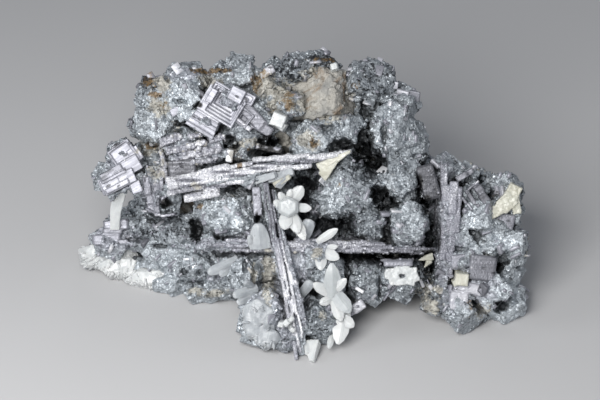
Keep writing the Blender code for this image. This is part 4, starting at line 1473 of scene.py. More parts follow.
# %% The two hoppers at the upper left
HOPPER_WEAR = 0.10 * MM
HOPPER_VOXEL = 0.24 * MM
HOPPER_ROLL = -31  # degrees that the large hopper and the bars beside it are turned by

upper_hoppers = [
    hopper(-26.0, 32.3, -5.6, 13.6, 11.4, 9, HOPPER_ROLL, 4, 0.85, 0.75, 0.22, 0.30, (FACE, TOP)),
    hopper(-21.2, 35.2, -4.2, 5.0, 4.8, 6, -27, 0, 0, 0),
    hopper(-29.6, 35.0, -5.2, 2.2, 5.0, 6, HOPPER_ROLL, 0, 0, 0),
    hopper(-31.4, 32.6, -5.6, 1.8, 5.4, 6, HOPPER_ROLL, 0, 0, 0),
    hopper(-17.4, 34.0, -5.8, 4.4, 3.6, 6, -27, 1, 0.7, 0.5),
    hopper(-18.8, 27.6, -6.6, 5.0, 5.6, 6, -38, 2, 0.7, 1.1, 0.1, 0.1),
]
GROOVED_BARS = 5
GROOVED_PITCH = 1.42  # millimetres from bar to bar
for i in range(GROOVED_BARS):
    sunk = 0.35 if i % 2 else 0.0
    away = (i - (GROOVED_BARS - 1) / 2) * GROOVED_PITCH
    slant = math.radians(HOPPER_ROLL)
    upper_hoppers.append(hopper(
        -32.2 - away * math.sin(slant), 25.9 + away * math.cos(slant), -6.0 - sunk,
        10.6 - 0.5 * i, 1.22, 8, HOPPER_ROLL, 0, 0, 0))
upper = joined("upper_hoppers", upper_hoppers)
weathered(upper, HOPPER_VOXEL, 0.0, HOPPER_WEAR)
# The dark ovals are painted shade in and beside the hoppers' sunken faces.
keep_looks(upper, rolled(HOPPER_ROLL), 0.50,
           bright=[(-28, 29.5, 5.0, 2.0, 0.10)],
           dark=[(-21.2, 35.2, 2.6, 2.6, 0.10), (-25.5, 34.0, 1.8, 1.8, 0.25), (-18.8, 27.6, 2.6, 2.6, 0.25)])
finished(upper, PLATE, "galena")

# %% [markdown]
# ## The stepped arm
#
# The arm at the far left is a stack of small cubes and bars that climb in steps. Each is a hopper with
# few steps or none. They are joined and fused, so that no seam shows where one grows out of another.

# %% The stepped arm at the far left
ARM_ROLL = 31  # degrees that the growth lines of the arm are turned by

arm_cubes = [
    hopper(-59.6, 15.2, -12.6, 8.4, 7.8, 9, 35, 1, 0.7, 0.4, -0.2, 0.2, (FACE, TOP)),
    hopper(-57.2, 11.6, -12.2, 6.8, 5.4, 8, 30, 0, 0, 0),
    hopper(-55.6, 15.4, -12.8, 4.0, 5.0, 8, 35, 0, 0, 0),
    hopper(-61.8, 17.6, -13.6, 3.2, 3.0, 7, 40, 0, 0, 0),
    hopper(-62.2, 6.0, -11.8, 9.8, 5.6, 9, 27, 0, 0, 0),
    hopper(-62.8, 7.8, -11.2, 9.0, 1.0, 8, 27, 0, 0, 0),
    hopper(-61.6, 4.6, -11.0, 8.4, 1.6, 8, 27, 0, 0, 0),
    hopper(-63.8, 9.4, -11.6, 8.0, 2.0, 7, 30, 0, 0, 0),
    hopper(-58.4, 7.6, -11.4, 5.6, 4.6, 8, 24, 0, 0, 0),
    hopper(-66.0, 4.6, -12.4, 3.0, 5.6, 7, 24, 0, 0, 0),
    hopper(-55.4, 4.4, -12.8, 3.6, 4.2, 7, 18, 0, 0, 0),
]
arm = joined("stepped_arm", arm_cubes)
weathered(arm, HOPPER_VOXEL, 0.0, HOPPER_WEAR)
# The bright oval is painted light on the lower block's front face; the dark ones are painted shade on the
# slanted faces at the upper left.
keep_looks(arm, rolled(ARM_ROLL), 0.45,
           bright=[(-62, 5.5, 5.0, 2.0, 0.15)],
           dark=[(-66.5, 10.2, 2.2, 1.2, 0.5), (-63.6, 18.8, 3.0, 1.0, 0.4), (-65.8, 7.2, 1.2, 1.2, 0.35)])
finished(arm, PLATE, "galena")

# %% [markdown]
# ## Calcite crystals and cleaved blocks
#
# Each calcite crystal is a flattened six-sided prism that swells towards a shoulder and then narrows.
# It starts as a six-sided cylinder: the top is extruded and scaled in a few rounds, all edges are
# bevelled, and the result is a metre long. Four sets of rounds give a pointed crystal, a blunt one, a
# petal and a cone. Broken calcite cleaves into leaning blocks instead: a box whose top is scaled and
# slid aside. Every crystal of every spray is a copy of one of these, stretched to its own length,
# width and thickness, so each shape is modelled once.

# %% Calcite crystal pattern
# Each rise, and the scale of the new ring there.
POINTED = [(0.40, 1.17), (0.32, 1.02), (0.15, 0.70), (0.06, 0.40)]
BLUNT = [(0.45, 1.24), (0.34, 0.98), (0.13, 0.74)]
PETAL = [(0.30, 1.30), (0.28, 1.05), (0.22, 0.66), (0.13, 0.26)]
CONE = [(0.30, 0.98), (0.30, 0.82), (0.22, 0.70), (0.11, 0.52)]


def unit_crystal(name, rings):
    """A crystal one metre long along Z with radius about one metre at its shoulder."""
    bpy.ops.object.select_all(action="DESELECT")
    bpy.ops.mesh.primitive_cylinder_add(vertices=6, radius=0.72, depth=0.07, location=(0, 0, 0.035))
    made = bpy.context.object
    made.name = name
    bpy.ops.object.transform_apply(location=True, rotation=False, scale=False)
    bpy.ops.object.mode_set(mode="EDIT")
    pick_face(made, (0, 0, 1))
    for rise, scale in rings:
        bpy.ops.mesh.extrude_region_move(TRANSFORM_OT_translate={"value": (0, 0, rise)})
        bpy.ops.transform.resize(value=(scale, scale, 1))
    bpy.ops.object.mode_set(mode="OBJECT")
    return modified(made, "BEVEL", width=0.02, segments=1, limit_method="ANGLE", angle_limit=math.radians(20))


crystal = unit_crystal("unit_crystal", POINTED)
stub = unit_crystal("unit_stub", BLUNT)
petal = unit_crystal("unit_petal", PETAL)
cone = unit_crystal("unit_cone", CONE)
print("crystal:", len(crystal.data.polygons), "faces")


def unit_block(name, top, slide=(0.22, 0.06, 0)):
    """A cleaved block one metre long along Z: a box, its top scaled and slid to one side."""
    bpy.ops.object.select_all(action="DESELECT")
    bpy.ops.mesh.primitive_cube_add(size=1, location=(0, 0, 0.5), scale=(1.7, 1.7, 1))
    made = bpy.context.object
    made.name = name
    bpy.ops.object.transform_apply(location=True, rotation=False, scale=True)
    bpy.ops.object.mode_set(mode="EDIT")
    pick_face(made, (0, 0, 1))
    bpy.ops.transform.resize(value=(*top, 1))
    bpy.ops.transform.translate(value=slide)
    bpy.ops.object.mode_set(mode="OBJECT")
    return modified(made, "BEVEL", width=0.05, segments=1, limit_method="ANGLE")


rhomb = unit_block("unit_rhomb", (0.72, 0.86))
shard = unit_block("unit_shard", (0.14, 0.50))
tooth = unit_block("unit_tooth", (0.34, 0.52))
slab = unit_block("unit_slab", (0.96, 0.98), (0, 0, 0))
print("blocks:", [len(pattern.data.polygons) for pattern in (rhomb, shard, tooth, slab)], "faces")

# %% [markdown]
# ## Setting crystals in a spray
#
# A crystal is easiest to give by its root and its tip, as one would hold it. Its copy is turned along
# that line, then about it, and stretched to its size. Unworn crystals keep places of their own for
# the growth lines, so that the lines follow each crystal. Only the flattest edges are shaded smooth.

# %% Placing calcite crystals


def crystal_copies(rows):
    """Turns and spots for copies of the crystal. A row is root, tip, width, thickness and twist.

    The root and tip are across, up and out in millimetres, the twist is in degrees about the length.
    """
    turns, spots = [], []
    for root, tip, width, thickness, twist in rows:
        root, tip = Vector(root), Vector(tip)
        along = tip - root
        turn = along.to_track_quat("Z", "Y").to_matrix() @ Matrix.Rotation(math.radians(twist), 3, "Z")
        side = turn @ Vector((width / 2, 0, 0))
        deep = turn @ Vector((0, thickness / 2, 0))
        turns.append([slope_way(side), slope_way(deep), slope_way(along)])
        spots.append(place(*root))
    return np.array(turns).transpose(0, 2, 1), np.array(spots)


GRAIN_SHIFT = 0.013  # metres; sets each crystal's growth lines apart from its neighbour's


def spray(name, rows, finish, *nodes, pattern=crystal, wear=0):
    """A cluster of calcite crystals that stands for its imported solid. Worn ones are fused first."""
    turns, spots = crystal_copies(rows)
    piece = tiled(name, pattern, turns, spots)
    if wear:
        weathered(piece, BLADE_VOXEL, 0, wear)
        keep_grain(piece, slope_way(Vector(rows[0][1]) - Vector(rows[0][0])))
    else:
        own = corners_of(pattern)[None] * np.linalg.norm(turns, axis=1)[:, None, :]
        own += np.arange(len(rows))[:, None, None] * GRAIN_SHIFT
        keep_attribute(piece, "grain", own[:, :, [2, 0, 1]].reshape(-1, 3))
    on_floor(piece)
    only(piece)
    bpy.ops.object.shade_smooth_by_angle(angle=math.radians(14))
    return finished(piece, finish, "calcite", *nodes)


# %% [markdown]
# ## The calcite sprays
#
# The sprays stand on the galena. Sharp groups are plain copies, worn ones are fused by a remesh and
# roughened, as the blades were. The first is flower-like: flat petals rooted in one blunt core, at the
# middle, with a smaller bunch to its lower right.

# %% Sprays at the middle
SPRAY_CENTRE = [
    ((-2.9, -0.8, -4.0), (0.8, 4.6, -0.6), 5.0, 2.6, 8),
    ((-1.8, -2.4, -3.6), (3.8, -2.8, -0.8), 3.6, 2.2, 0),
    ((-3.0, -4.0, -4.0), (-0.6, -11.0, -0.4), 4.8, 2.8, 0),
    ((-4.2, -4.0, -3.6), (-5.2, -9.8, -0.1), 5.4, 3.0, 10),
    ((-5.2, -2.2, -4.0), (-8.8, -0.4, -1.6), 3.2, 2.2, 0),
    ((-4.8, -1.0, -4.0), (-7.0, 2.6, -1.6), 3.0, 2.0, 0),
    ((-3.4, -0.6, -4.0), (-3.0, 3.6, -1.2), 3.4, 2.2, 0),
    ((-2.4, -4.6, -5.0), (1.6, -13.4, -1.6), 4.4, 2.6, 0),
]
SPRAY_CORE = [((-3.9, -2.6, -8), (-3.9, -2.2, 0.9), 9.0, 8.4, 0)]
SPRAY_CENTRE_GREY = [
    ((1.4, -12.6, -8), (3.4, -6.6, -2.8), 5.8, 3.0, 0),
    ((0.4, -31.8, -8), (3.8, -27.2, -3.2), 4.6, 3.0, 0),
]
SPRAY_LOWER = [
    ((5.8, -14.0, -5.0), (12.6, -9.6, -1.4), 3.4, 2.0, 0),
    ((6.8, -16.6, -4.4), (13.0, -19.6, -0.4), 4.6, 2.4, 0),
    ((7.2, -16.6, -4.4), (6.9, -23.4, -0.4), 4.6, 2.4, 0),
    ((8.0, -16.4, -4.4), (12.6, -15.4, -0.8), 2.6, 1.8, 0),
]

spray("spray_centre", SPRAY_CENTRE, WHITE_CALCITE, "calcite_spray_centre", pattern=petal)
spray("spray_core", SPRAY_CORE, PALE_CALCITE, pattern=stub, wear=0.3 * MM)
spray("spray_centre_grey", SPRAY_CENTRE_GREY, MILKY_CALCITE)
spray("spray_lower", SPRAY_LOWER, WHITE_CALCITE, "calcite_spray_lower", pattern=petal)

# %% [markdown]
# ## The spire
#
# A tall crystal at the lower right with side crystals that stand out from it, spikes on the rim below
# it, and a stout tooth at the very bottom. The tooth is cleaved, so it is a block and not a petal.

# %% Spire, rim and foot
SPIRE = [
    ((11.6, -38.6, -7.0), (10.6, -21.0, -1.2), 7.4, 3.8, 0),
    ((11.4, -30.6, -4.6), (16.8, -37.6, -1.2), 6.0, 3.2, 0),
]
SPIRE_SIDES = [
    ((11.2, -31.0, -4.2), (15.4, -26.2, -1.0), 3.6, 2.0, 0),
    ((10.4, -31.8, -4.6), (4.4, -27.8, -2.2), 4.2, 2.2, 0),
    ((11.4, -33.6, -4.6), (13.8, -40.4, -1.0), 4.6, 2.8, 0),
    ((10.6, -33.0, -5.0), (6.6, -34.6, -2.6), 3.6, 2.2, 0),
]
RIM_SPIKES = [
    ((15.2, -35.8, -5), (12.6, -48.2, -1.6), 6.6, 2.6, 0),
    ((13.6, -38.8, -4), (18.0, -42.4, -2.0), 4.4, 2.2, 0),
    ((10.8, -45.0, -5), (9.6, -49.6, -0.8), 2.6, 1.8, 0),
]
FOOT = [
    ((4.3, -47.4, -3.4), (3.4, -54.0, 0.4), 6.2, 4.2, 22),
    ((2.6, -47.6, -3.4), (1.8, -51.4, 0.0), 3.4, 3.0, 0),
]

spray("spire", SPIRE, PALE_CALCITE, "calcite_spire", pattern=petal)
spray("spire_sides", SPIRE_SIDES, WHITE_CALCITE, pattern=petal)
spray("rim_spikes", RIM_SPIKES, WHITE_CALCITE, "calcite_rim_spikes", pattern=petal)
spray("foot_crystal", FOOT, WHITE_CALCITE, "calcite_foot", pattern=tooth, wear=0.2 * MM)

# %% [markdown]
# ## Single crystals on the left
#
# A knob of worn blocks sits on the nose. A leaf, a pair and a tent of milky crystals lean out between
# the lumps. They are rooted deep in the galena, so that none seems stuck on.

# %% Knob, leaf, pair and tent
NOSE_KNOB = [
    ((-5.4, -41.4, -3), (-6.6, -41.2, 2.0), 3.0, 2.6, 0),
    ((-4.2, -41.0, -3), (-4.4, -40.6, 2.6), 3.2, 2.8, 20),
    ((-3.0, -42.4, -3), (-2.6, -43.6, 2.0), 2.4, 2.2, 40),
    ((-3.4, -40.4, -3), (-2.4, -39.6, 2.0), 2.4, 2.2, 10),
]
LEAF = [
    ((-21.0, -20.0, -12), (-31.0, -24.6, -8.6), 4.6, 2.6, 0),
    ((-22.5, -22.0, -12), (-27.0, -25.4, -8.8), 3.4, 2.4, 0),
]
PALE_PAIR = [
    ((-14.5, -29.6, -8), (-22.4, -32.0, -3.4), 4.4, 2.8, 0),
    ((-15.0, -31.0, -8), (-21.0, -34.6, -3.6), 3.6, 2.4, 0),
    ((-15.6, -29.5, -8), (-18.4, -27.2, -2.8), 3.4, 2.4, 0),
]
TENT = [
    ((-13.3, -16.0, -6.4), (-14.0, -7.8, -3.4), 11.4, 5.6, 0),
    ((-15.6, -15.4, -6.4), (-17.0, -11.8, -3.6), 5.0, 3.2, 0),
]

spray("nose_knob", NOSE_KNOB, WHITE_CALCITE, "calcite_nose_knob", pattern=rhomb, wear=0.5 * MM)
spray("leaf", LEAF, MILKY_CALCITE, "calcite_leaf")
spray("pale_pair", PALE_PAIR, MILKY_CALCITE, "calcite_pale_pair")
spray("tent", TENT, MILKY_CALCITE, "calcite_tent", pattern=cone)

# %% [markdown]
# ## The hanging blade
#
# A curved blade hangs from the left arm. A curve could be bent with a modifier, but a chain of short
# slabs that follow it, fused and worn, keeps the small breaks that a real calcite blade has.

# %% Hanging blade
HANGING_LINE = [
    (-60.2, 6.0, -18.6), (-61.3, 2.6, -20.4), (-62.2, -0.4, -22.4), (-62.9, -3.4, -24.6),
    (-63.3, -6.4, -26.8), (-63.5, -10.0, -29.2),
]
HANGING_BLADE = [(start, end, 5.6 - 0.4 * i, 1.9, 0)
                 for i, (start, end) in enumerate(zip(HANGING_LINE, HANGING_LINE[1:]))]

spray("hanging_blade", HANGING_BLADE, WHITE_CALCITE, "calcite_hanging_blade", pattern=slab, wear=0.2 * MM)

# %% [markdown]
# ## Cleaved blocks
#
# Where calcite broke it left blocks and wedges, white, milky or cream, with worn edges. The right
# edge is a chain of slabs and the cream patch a pavement of square ones, each group fused as one.

# %% Cleaved blocks
UNDER_BLADE = [
    ((-15.6, 6.6, -7), (-8.0, 8.2, -2.8), 3.4, 2.8, 10),
    ((-10.5, 7.0, -7), (-2.0, 9.2, -3.4), 3.8, 2.6, -12),
    ((-7.5, 4.6, -7), (-4.0, 7.6, -3.4), 3.0, 2.4, 30),
]
UNDER_BLADE_CREAM = [
    ((-8.6, 5.2, -7), (-3.2, 7.6, -2.8), 2.6, 2.2, 15),
]
WEDGE_UPPER = [
    ((-6.9, 27.0, -14), (-7.3, 27.6, -5.8), 7.2, 6.4, 35),
    ((-5.8, 24.8, -14), (-6.2, 25.2, -6.8), 4.0, 3.6, 10),
]
WEDGE_BLADE = [
    ((6.6, 10.4, -8), (17.4, 16.0, -4.4), 5.4, 4.0, 0), ((7.6, 8.0, -8), (13.0, 12.6, -4.4), 4.6, 3.4, 0),
]
RIGHT_EDGE = [
    ((60.4, -5.4, -11.8), (65.0, -4.2, -11.2), 2.8, 5.0, 0),
    ((64.0, -4.6, -11.6), (69.0, -2.2, -11.2), 4.8, 6.0, 0),
    ((67.6, -2.8, -11.4), (71.8, 1.2, -11.0), 6.4, 6.0, 0),
    ((70.4, 0.0, -11.4), (73.0, 5.0, -11.0), 5.6, 6.0, 0),
    ((72.4, 2.0, -11.6), (73.2, -4.8, -11.4), 3.4, 5.0, 0),
]
CREAM_BOX = [
    ((54.4, -26.3, -12), (54.2, -26.0, -5.2), 6.6, 6.0, 49),
    ((52.4, -27.6, -12), (52.2, -27.6, -5.8), 3.2, 3.0, 20),
]
CREAM_PATCH_BLOCKS = [
    (31.0, -24.6, 5.4, 4.2, 8), (34.4, -23.5, 5.4, 3.4, -3), (37.4, -24.4, 4.6, 4.2, 4),
    (38.9, -26.0, 2.6, 3.2, 18), (36.9, -27.0, 4.4, 3.6, -12), (33.9, -27.4, 4.6, 2.8, 6),
    (31.4, -27.2, 3.6, 3.0, 14), (29.4, -25.2, 2.6, 2.4, 0),
]
CREAM_PATCH = [((across, up, -12), (across, up, -5.3), wide, high, twist)
               for across, up, wide, high, twist in CREAM_PATCH_BLOCKS]
CREAM_WEDGE = [
    ((44.4, -19.0, -11), (39.8, -19.8, -7.4), 3.2, 2.4, 0),
    ((43.6, -20.6, -11), (41.6, -22.4, -8.0), 2.4, 2.0, 0),
]
CROWN = [
    ((11.7, 44.6, -15), (11.8, 45.2, -9.8), 3.6, 3.0, 25),
]

spray("under_blade", UNDER_BLADE, MILKY_CALCITE, "calcite_under_blade", pattern=rhomb, wear=0.5 * MM)
spray("under_blade_cream", UNDER_BLADE_CREAM, CREAM_CALCITE, pattern=rhomb, wear=0.4 * MM)
spray("wedge_upper", WEDGE_UPPER, WHITE_CALCITE, "calcite_wedge_upper", pattern=rhomb, wear=0.35 * MM)
spray("wedge_blade", WEDGE_BLADE, CREAM_CALCITE, "calcite_wedge_blade", pattern=shard, wear=0.45 * MM)
spray("right_edge", RIGHT_EDGE, CREAM_CALCITE, "calcite_right_edge", pattern=slab, wear=0.7 * MM)
spray("cream_box", CREAM_BOX, CREAM_CALCITE, "calcite_cream_box", pattern=rhomb, wear=0.25 * MM)
spray("cream_patch", CREAM_PATCH, WHITE_CALCITE, "calcite_cream_patch", pattern=slab, wear=0.7 * MM)
spray("cream_wedge", CREAM_WEDGE, CREAM_CALCITE, "calcite_cream_wedge", pattern=shard, wear=0.35 * MM)
spray("crown", CROWN, WHITE_CALCITE, "calcite_crown", pattern=rhomb, wear=0.3 * MM)

# %% [markdown]
# ## Calcite crusts
#
# On the left wing and the nose calcite grew as a crust. Its crystals fan out from one centre and have
# grown together, so that their tips show only along the lower rim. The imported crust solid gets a
# smooth, swollen skin, and short crystals are set into its rim and into a few places on its face, all
# leaning away from the centre. The growth lines spread from the same centre: `grain` holds how far
# each point is from it, and its turn round it.

# %% Calcite crusts
CRUST_VOXEL = 0.42 * MM
RIM_FACES = -0.45  # a face that looks this far down the slope is on the rim
FAN_RADIUS = 0.012  # metres; how far out the radiating growth lines are at their true width

swells = relief("swells", "CLOUDS", 5.0 * MM, noise_depth=1)


def crust(name, node, centre, spacing, length, width, lean, finish, seed, share, rough):
    """A crust that fans out from a centre on the slope: a smooth skin with crystals standing at its lower
    rim, and on a share of its face."""
    base = sewn_copy(node, name + "_base")
    modified(base, "REMESH", mode="VOXEL", voxel_size=CRUST_VOXEL)
    pushed(base, swells, 0.5 * MM, 0.6)
    pushed(base, chips, rough, 0.6)
    on_floor(base)
    points, ways, _ = spread_points(base, spacing, seed)
    chance = np.random.default_rng(seed)
    kept = (ways @ np.array(UP) < RIM_FACES) | (chance.random(len(points)) < share)
    points, ways = points[kept], ways[kept]
    middle = np.array(place(*centre))
    turns, spots = [], []
    for point, way in zip(points, ways):
        fan = point - middle
        fan = fan - way * (fan @ way)
        fan /= np.linalg.norm(fan) + 1e-9
        along = Vector(way * (1 - lean) + fan * lean + chance.normal(0, 0.15, 3)).normalized()
        size = chance.uniform(0.6, 1.25)
        turn = along.to_track_quat("Z", "Y").to_matrix()
        turn = turn @ Matrix.Rotation(chance.uniform(0, math.tau), 3, "Z")
        half = width * size / 2
        turns.append([turn @ Vector((half, 0, 0)), turn @ Vector((0, half * 0.7, 0)), along * length * size])
        spots.append(Vector(point) - along * length * size * 0.42)
    studs = tiled(name, small_crystal, np.array(turns).transpose(0, 2, 1), np.array(spots))
    piece = joined(name, [studs, base])
    on_floor(piece)
    away = on_slope(corners_of(piece)) * MM - np.array([centre[0], centre[1], 0]) * MM
    reach = np.hypot(away[:, 0], away[:, 1])
    turn = np.arctan2(away[:, 1], away[:, 0]) * FAN_RADIUS
    keep_attribute(piece, "grain", np.column_stack([reach, turn, away[:, 2]]))
    return finished(piece, finish, "calcite", node)


def unit_small_crystal():
    """The same crystal with few faces, for the hundreds in a crust."""
    bpy.ops.object.select_all(action="DESELECT")
    bpy.ops.mesh.primitive_cylinder_add(vertices=6, radius=0.8, depth=0.62, location=(0, 0, 0.31))
    made = bpy.context.object
    made.name = "unit_small_crystal"
    bpy.ops.object.transform_apply(location=True, rotation=False, scale=False)
    bpy.ops.object.mode_set(mode="EDIT")
    pick_face(made, (0, 0, 1))
    bpy.ops.mesh.extrude_region_move(TRANSFORM_OT_translate={"value": (0, 0, 0.38)})
    bpy.ops.transform.resize(value=(0.32, 0.32, 1))
    bpy.ops.object.mode_set(mode="OBJECT")
    return made


small_crystal = unit_small_crystal()
crust("crust_left", "calcite_crust_left", (-60, -12, -34), spacing=1.0 * MM, length=2.4 * MM,
      width=1.1 * MM, lean=0.88, finish=WHITE_CALCITE, seed=21, share=0.08, rough=0.22 * MM)
crust("crust_nose", "calcite_crust_nose", (-9, -41, -1), spacing=1.2 * MM, length=2.6 * MM,
      width=1.3 * MM, lean=0.97, finish=MILKY_CALCITE, seed=22, share=0.08, rough=0.32 * MM)

# %% [markdown]
# ## Host rock
#
# The rock is made as the galena body was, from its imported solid: a voxel remesh, then displacement.
# Its swells are larger and its crumbs finer, and folds run between them, so that it looks broken and
# not grown.

# %% Host rock piece
ROCK_VOXEL = 0.85 * MM
PALE_ROCK = [(-10.5, -25.5, 4.0, 8.0, 1.0), (-16.0, -23.5, 3.6, 5.4, 0.9)]

breaks = relief("breaks", "CLOUDS", 9.0 * MM, noise_depth=3, noise_type="HARD_NOISE")
crumbs = relief("crumbs", "CLOUDS", 1.8 * MM, noise_depth=2)
folds = relief("folds", "WOOD", 2.6 * MM, wood_type="BANDNOISE", turbulence=9.0)

rock = sewn_copy("host_rock", "host_rock_rough")
modified(rock, "REMESH", mode="VOXEL", voxel_size=ROCK_VOXEL)
pushed(rock, breaks, 2.2 * MM, 0.55)
pushed(rock, chips, 1.0 * MM, 0.6)
pushed(rock, folds, 0.7 * MM)
pushed(rock, crumbs, 0.9 * MM)
sink(rock)
on_floor(rock)
rock_spots, rock_ways = corners_of(rock), normals_of(rock)
rock_tree = BVHTree.FromObject(rock, bpy.context.evaluated_depsgraph_get())
keep_attribute(rock, "iron", cover(rock_spots, rock_ways, IRON_STAINS))
# Painted shade: how hidden each point is by the rock and the galena, less on the pale face.
rock_hollow = (hollows(rock_spots, rock_ways, rock_tree) + hollows(rock_spots, rock_ways, body_tree)) / 1.6
pale_face = cover(rock_spots, rock_ways, PALE_ROCK, STEEP_FROM)
keep_attribute(rock, "pale", pale_face)
keep_attribute(rock, "hollow", np.clip(rock_hollow * (1 - 0.85 * pale_face), 0, 1))
finished(rock, ROCK, "host_rock", "host_rock")

# %% [markdown]
# ## Sugar: tens of thousands of small crystals
#
# What makes the lumps glitter is that they are built of tiny crystals, lined up lump by lump. The two
# cube patterns are copied all over the body, sunk most of the way into it. They keep clear of the
# blades and plates, whose faces are flat, and of the cavities, and slow noise leaves some stretches
# bare. Copies in crevices take the black that is painted there as painted shade.


# %% Sugar over the body
SUGAR_SPACING = 1.15 * MM
GRAIN_LEAST = 0.30 * MM  # edge of the smallest grains
GRAIN_MOST = 1.45 * MM
CLEAR_OF_PLATES = 0.5 * MM
GRAINS_A_PIECE = 9000
BARE_BELOW = -0.10  # where the drift is below this, the lump has no grains
GRAINS_END = 2.4  # millimetres down in a cavity
GRAIN_SKEW = 2.8  # the higher, the more of the grains are small
GRAIN_STRAY = 0.14  # radians that a grain strays from its lump's directions
GRAIN_SUNK = 0.30  # share of its edge that a grain's middle lies below the surface


def clear_of(points, pieces, distance):
    """Which points are outside every piece and further from it than the distance."""
    clear = np.ones(len(points), bool)
    for piece in pieces:
        near = BVHTree.FromObject(piece, bpy.context.evaluated_depsgraph_get())
        low, high = corners_of(piece).min(0) - distance, corners_of(piece).max(0) + distance
        for i in np.flatnonzero(clear & (points > low).all(1) & (points < high).all(1)):
            spot, way, _, away = near.find_nearest(Vector(points[i]))
            if away < distance or (Vector(points[i]) - spot).dot(way) < 0:
                clear[i] = False
    return clear


flat_pieces = [bpy.data.objects[name] for name in (
    "upper_blade", "upright_blade", "level_blade", "right_blade", "left_plate", "ledges", "plates",
    "fanned_plates", "upper_hoppers", "stepped_arm")]
points, ways, corner = spread_points(body, SUGAR_SPACING, 31)
clear = clear_of(points, flat_pieces, CLEAR_OF_PLATES)
clear &= points[:, 2] > 0.5 * MM
clear &= drift(points, 3.2 * MM, 4) > BARE_BELOW
clear &= cover(points, ways, CAVITIES, STEEP_FROM, 0.8) < GRAINS_END
points, ways, corner = points[clear], ways[clear], corner[clear]
chance = np.random.default_rng(32)
sizes = GRAIN_LEAST + (GRAIN_MOST - GRAIN_LEAST) * chance.random(len(points)) ** GRAIN_SKEW
tones = chance.random(len(points)) ** 1.3
turns = growth_turns(points, GRAIN_STRAY, chance) * sizes[:, None, None]
spots = points - ways * (sizes * GRAIN_SUNK)[:, None]
# Painted shade for each grain: that of the crevice it stands in.
hollow = body_hollow[corner]
print("sugar:", len(points), "grains")

# %% [markdown]
# ## Sugar in pieces
#
# All the grains in one mesh would be too heavy to handle, so they are dealt out from left to right, a
# few thousand to a piece. Three in five are whole cubes and the rest are cut ones.

# %% Sugar pieces
starts = range(0, len(points), GRAINS_A_PIECE)
order = np.argsort(points[:, 0], kind="stable")
for number, start in enumerate(starts):
    for kind, pattern in (("cubes", cube_grain), ("cut", cut_grain)):
        chosen = order[start:start + GRAINS_A_PIECE]
        chosen = chosen[(chosen % 5 < 3) == (kind == "cubes")]
        piece = tiled(f"sugar_{kind}_{number}", pattern, turns[chosen], spots[chosen], tones[chosen])
        copy_films(piece, pattern, points[chosen], ways[chosen], hollow[chosen])
        finished(piece, SUGAR, "galena")

# %% [markdown]
# ## Flakes
#
# Broken ends of plates stand out of the lumps everywhere. They are small flat blocks, stretched copies
# of the lath, and are lined up with their lump as the sugar is.

# %% Flakes
FLAKE_SPACING = 4.2 * MM
FLAKE_SHARE = 0.55
FLAKE_LEAST = 1.2 * MM
FLAKE_MOST = 4.2 * MM
FLAKE_STRAY = 0.05  # radians that a flake strays from its lump's directions
FLAKE_SUNK = 0.12  # share of its length that a flake's middle lies below the surface

points, ways, corner = spread_points(body, FLAKE_SPACING, 61)
chance = np.random.default_rng(62)
kept = (chance.random(len(points)) < FLAKE_SHARE) & clear_of(points, flat_pieces, 0.8 * MM)
kept &= (points[:, 2] > FLAKE_MOST) & (body_hollow[corner] < 0.6)
points, ways, corner = points[kept], ways[kept], corner[kept]
count = len(points)
sizes = FLAKE_LEAST + (FLAKE_MOST - FLAKE_LEAST) * chance.random(count) ** 1.6
shares = np.column_stack([np.ones(count), chance.uniform(0.4, 0.9, count), chance.uniform(0.15, 0.45, count)])
turns = growth_turns(points, FLAKE_STRAY, chance) * (sizes[:, None] * shares)[:, None, :]
flakes = tiled("flakes", lath, turns, points - ways * (sizes * FLAKE_SUNK)[:, None])
# Painted shade: flakes in crevices are darkened, less than the body.
copy_films(flakes, lath, points, ways, body_hollow[corner] * 0.6)
keep_grain(flakes, ACROSS)
flake_tones = np.clip(chance.normal(0.50, 0.16, count), 0.12, 0.95)
keep_attribute(flakes, "tone", per_corner(lath, flake_tones))
finished(flakes, PLATE, "galena")

# %% [markdown]
# ## Sugar on the blades
#
# Fine crystals grew on the blades too, a few on the clean plates and more on the ledges. They keep the
# directions of the slope, a little astray, because they grew on from the blade below them.

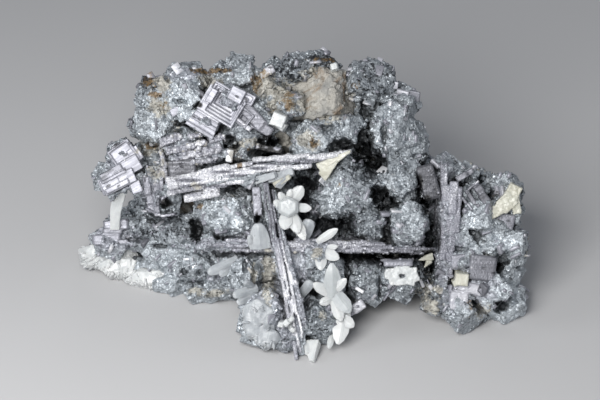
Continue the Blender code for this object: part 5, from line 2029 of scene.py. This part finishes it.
# %% Sugar on the blades
# Each row: the blade, spacing, share of spots used, smallest and largest grain, tone.
# The tone follows the blade's own, so grains on the upper blade carry its painted light.
BLADE_SUGAR = [
    ("level_blade", 1.3, 0.28, 0.3, 1.2, 0.50), ("upright_blade", 1.5, 0.14, 0.3, 0.9, 0.52),
    ("right_blade", 1.6, 0.10, 0.3, 0.9, 0.50), ("ledges", 1.3, 0.50, 0.4, 1.6, 0.60),
    ("left_plate", 1.5, 0.20, 0.4, 0.8, 0.50), ("upper_blade", 1.7, 0.10, 0.4, 0.9, 0.85),
    ("plates", 1.7, 0.12, 0.4, 0.9, 0.55), ("stepped_arm", 1.8, 0.08, 0.4, 0.9, 0.7),
]
TURN_SPREAD = 0.25  # how far a grain strays from its blade's own directions


def blade_sugar(name, spacing, share, least, most, tone, seed):
    """Fine crystals on a blade, nearly lined up with it."""
    points, ways, _ = spread_points(bpy.data.objects[name], spacing * MM, seed)
    chance = np.random.default_rng(seed)
    kept = (chance.random(len(points)) < share) & (points[:, 2] > 0.4 * MM)
    points, ways = points[kept], ways[kept]
    count = len(points)
    sizes = (least + (most - least) * chance.random(count) ** 2) * MM
    spread = chance.normal(0, TURN_SPREAD, (count, 3))
    slope_axes = Matrix((ACROSS, UP, OUT)).transposed()
    frames = np.array([Euler(angles).to_matrix() @ slope_axes for angles in spread])
    spots = points - ways * (sizes * 0.22)[:, None]
    piece = tiled(name + "_sugar", cube_grain, frames * sizes[:, None, None], spots)
    copy_films(piece, cube_grain, points, ways, np.zeros(count))
    keep_grain(piece, ACROSS)
    tones = per_corner(cube_grain, tone + chance.normal(0, 0.16, count))
    keep_attribute(piece, "tone", np.clip(tones, 0.05, 1.1))
    return finished(piece, PLATE, "galena")


for seed, row in enumerate(BLADE_SUGAR, start=51):
    blade_sugar(*row, seed)

# %% [markdown]
# ## Leaving the bench tidy
#
# The patterns that copies were made from aren't part of the specimen, so they go. The box of the
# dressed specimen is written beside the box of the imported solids, to see that nothing outgrew them.

# %% Tidy and check
patterns = (lath, crystal, stub, petal, cone, rhomb, shard, tooth, slab, small_crystal)
for pattern in patterns + (cube_grain, cut_grain):
    bpy.data.objects.remove(pattern)

dressed_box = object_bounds()
grown = [round((b - a) / MM, 2) for a, b in zip(solid_box[0], dressed_box[0])]
print("lowest corner moved by", grown, "mm")
grown = [round((b - a) / MM, 2) for a, b in zip(solid_box[1], dressed_box[1])]
print("highest corner moved by", grown, "mm")
total = sum(triangles(o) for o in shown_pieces())
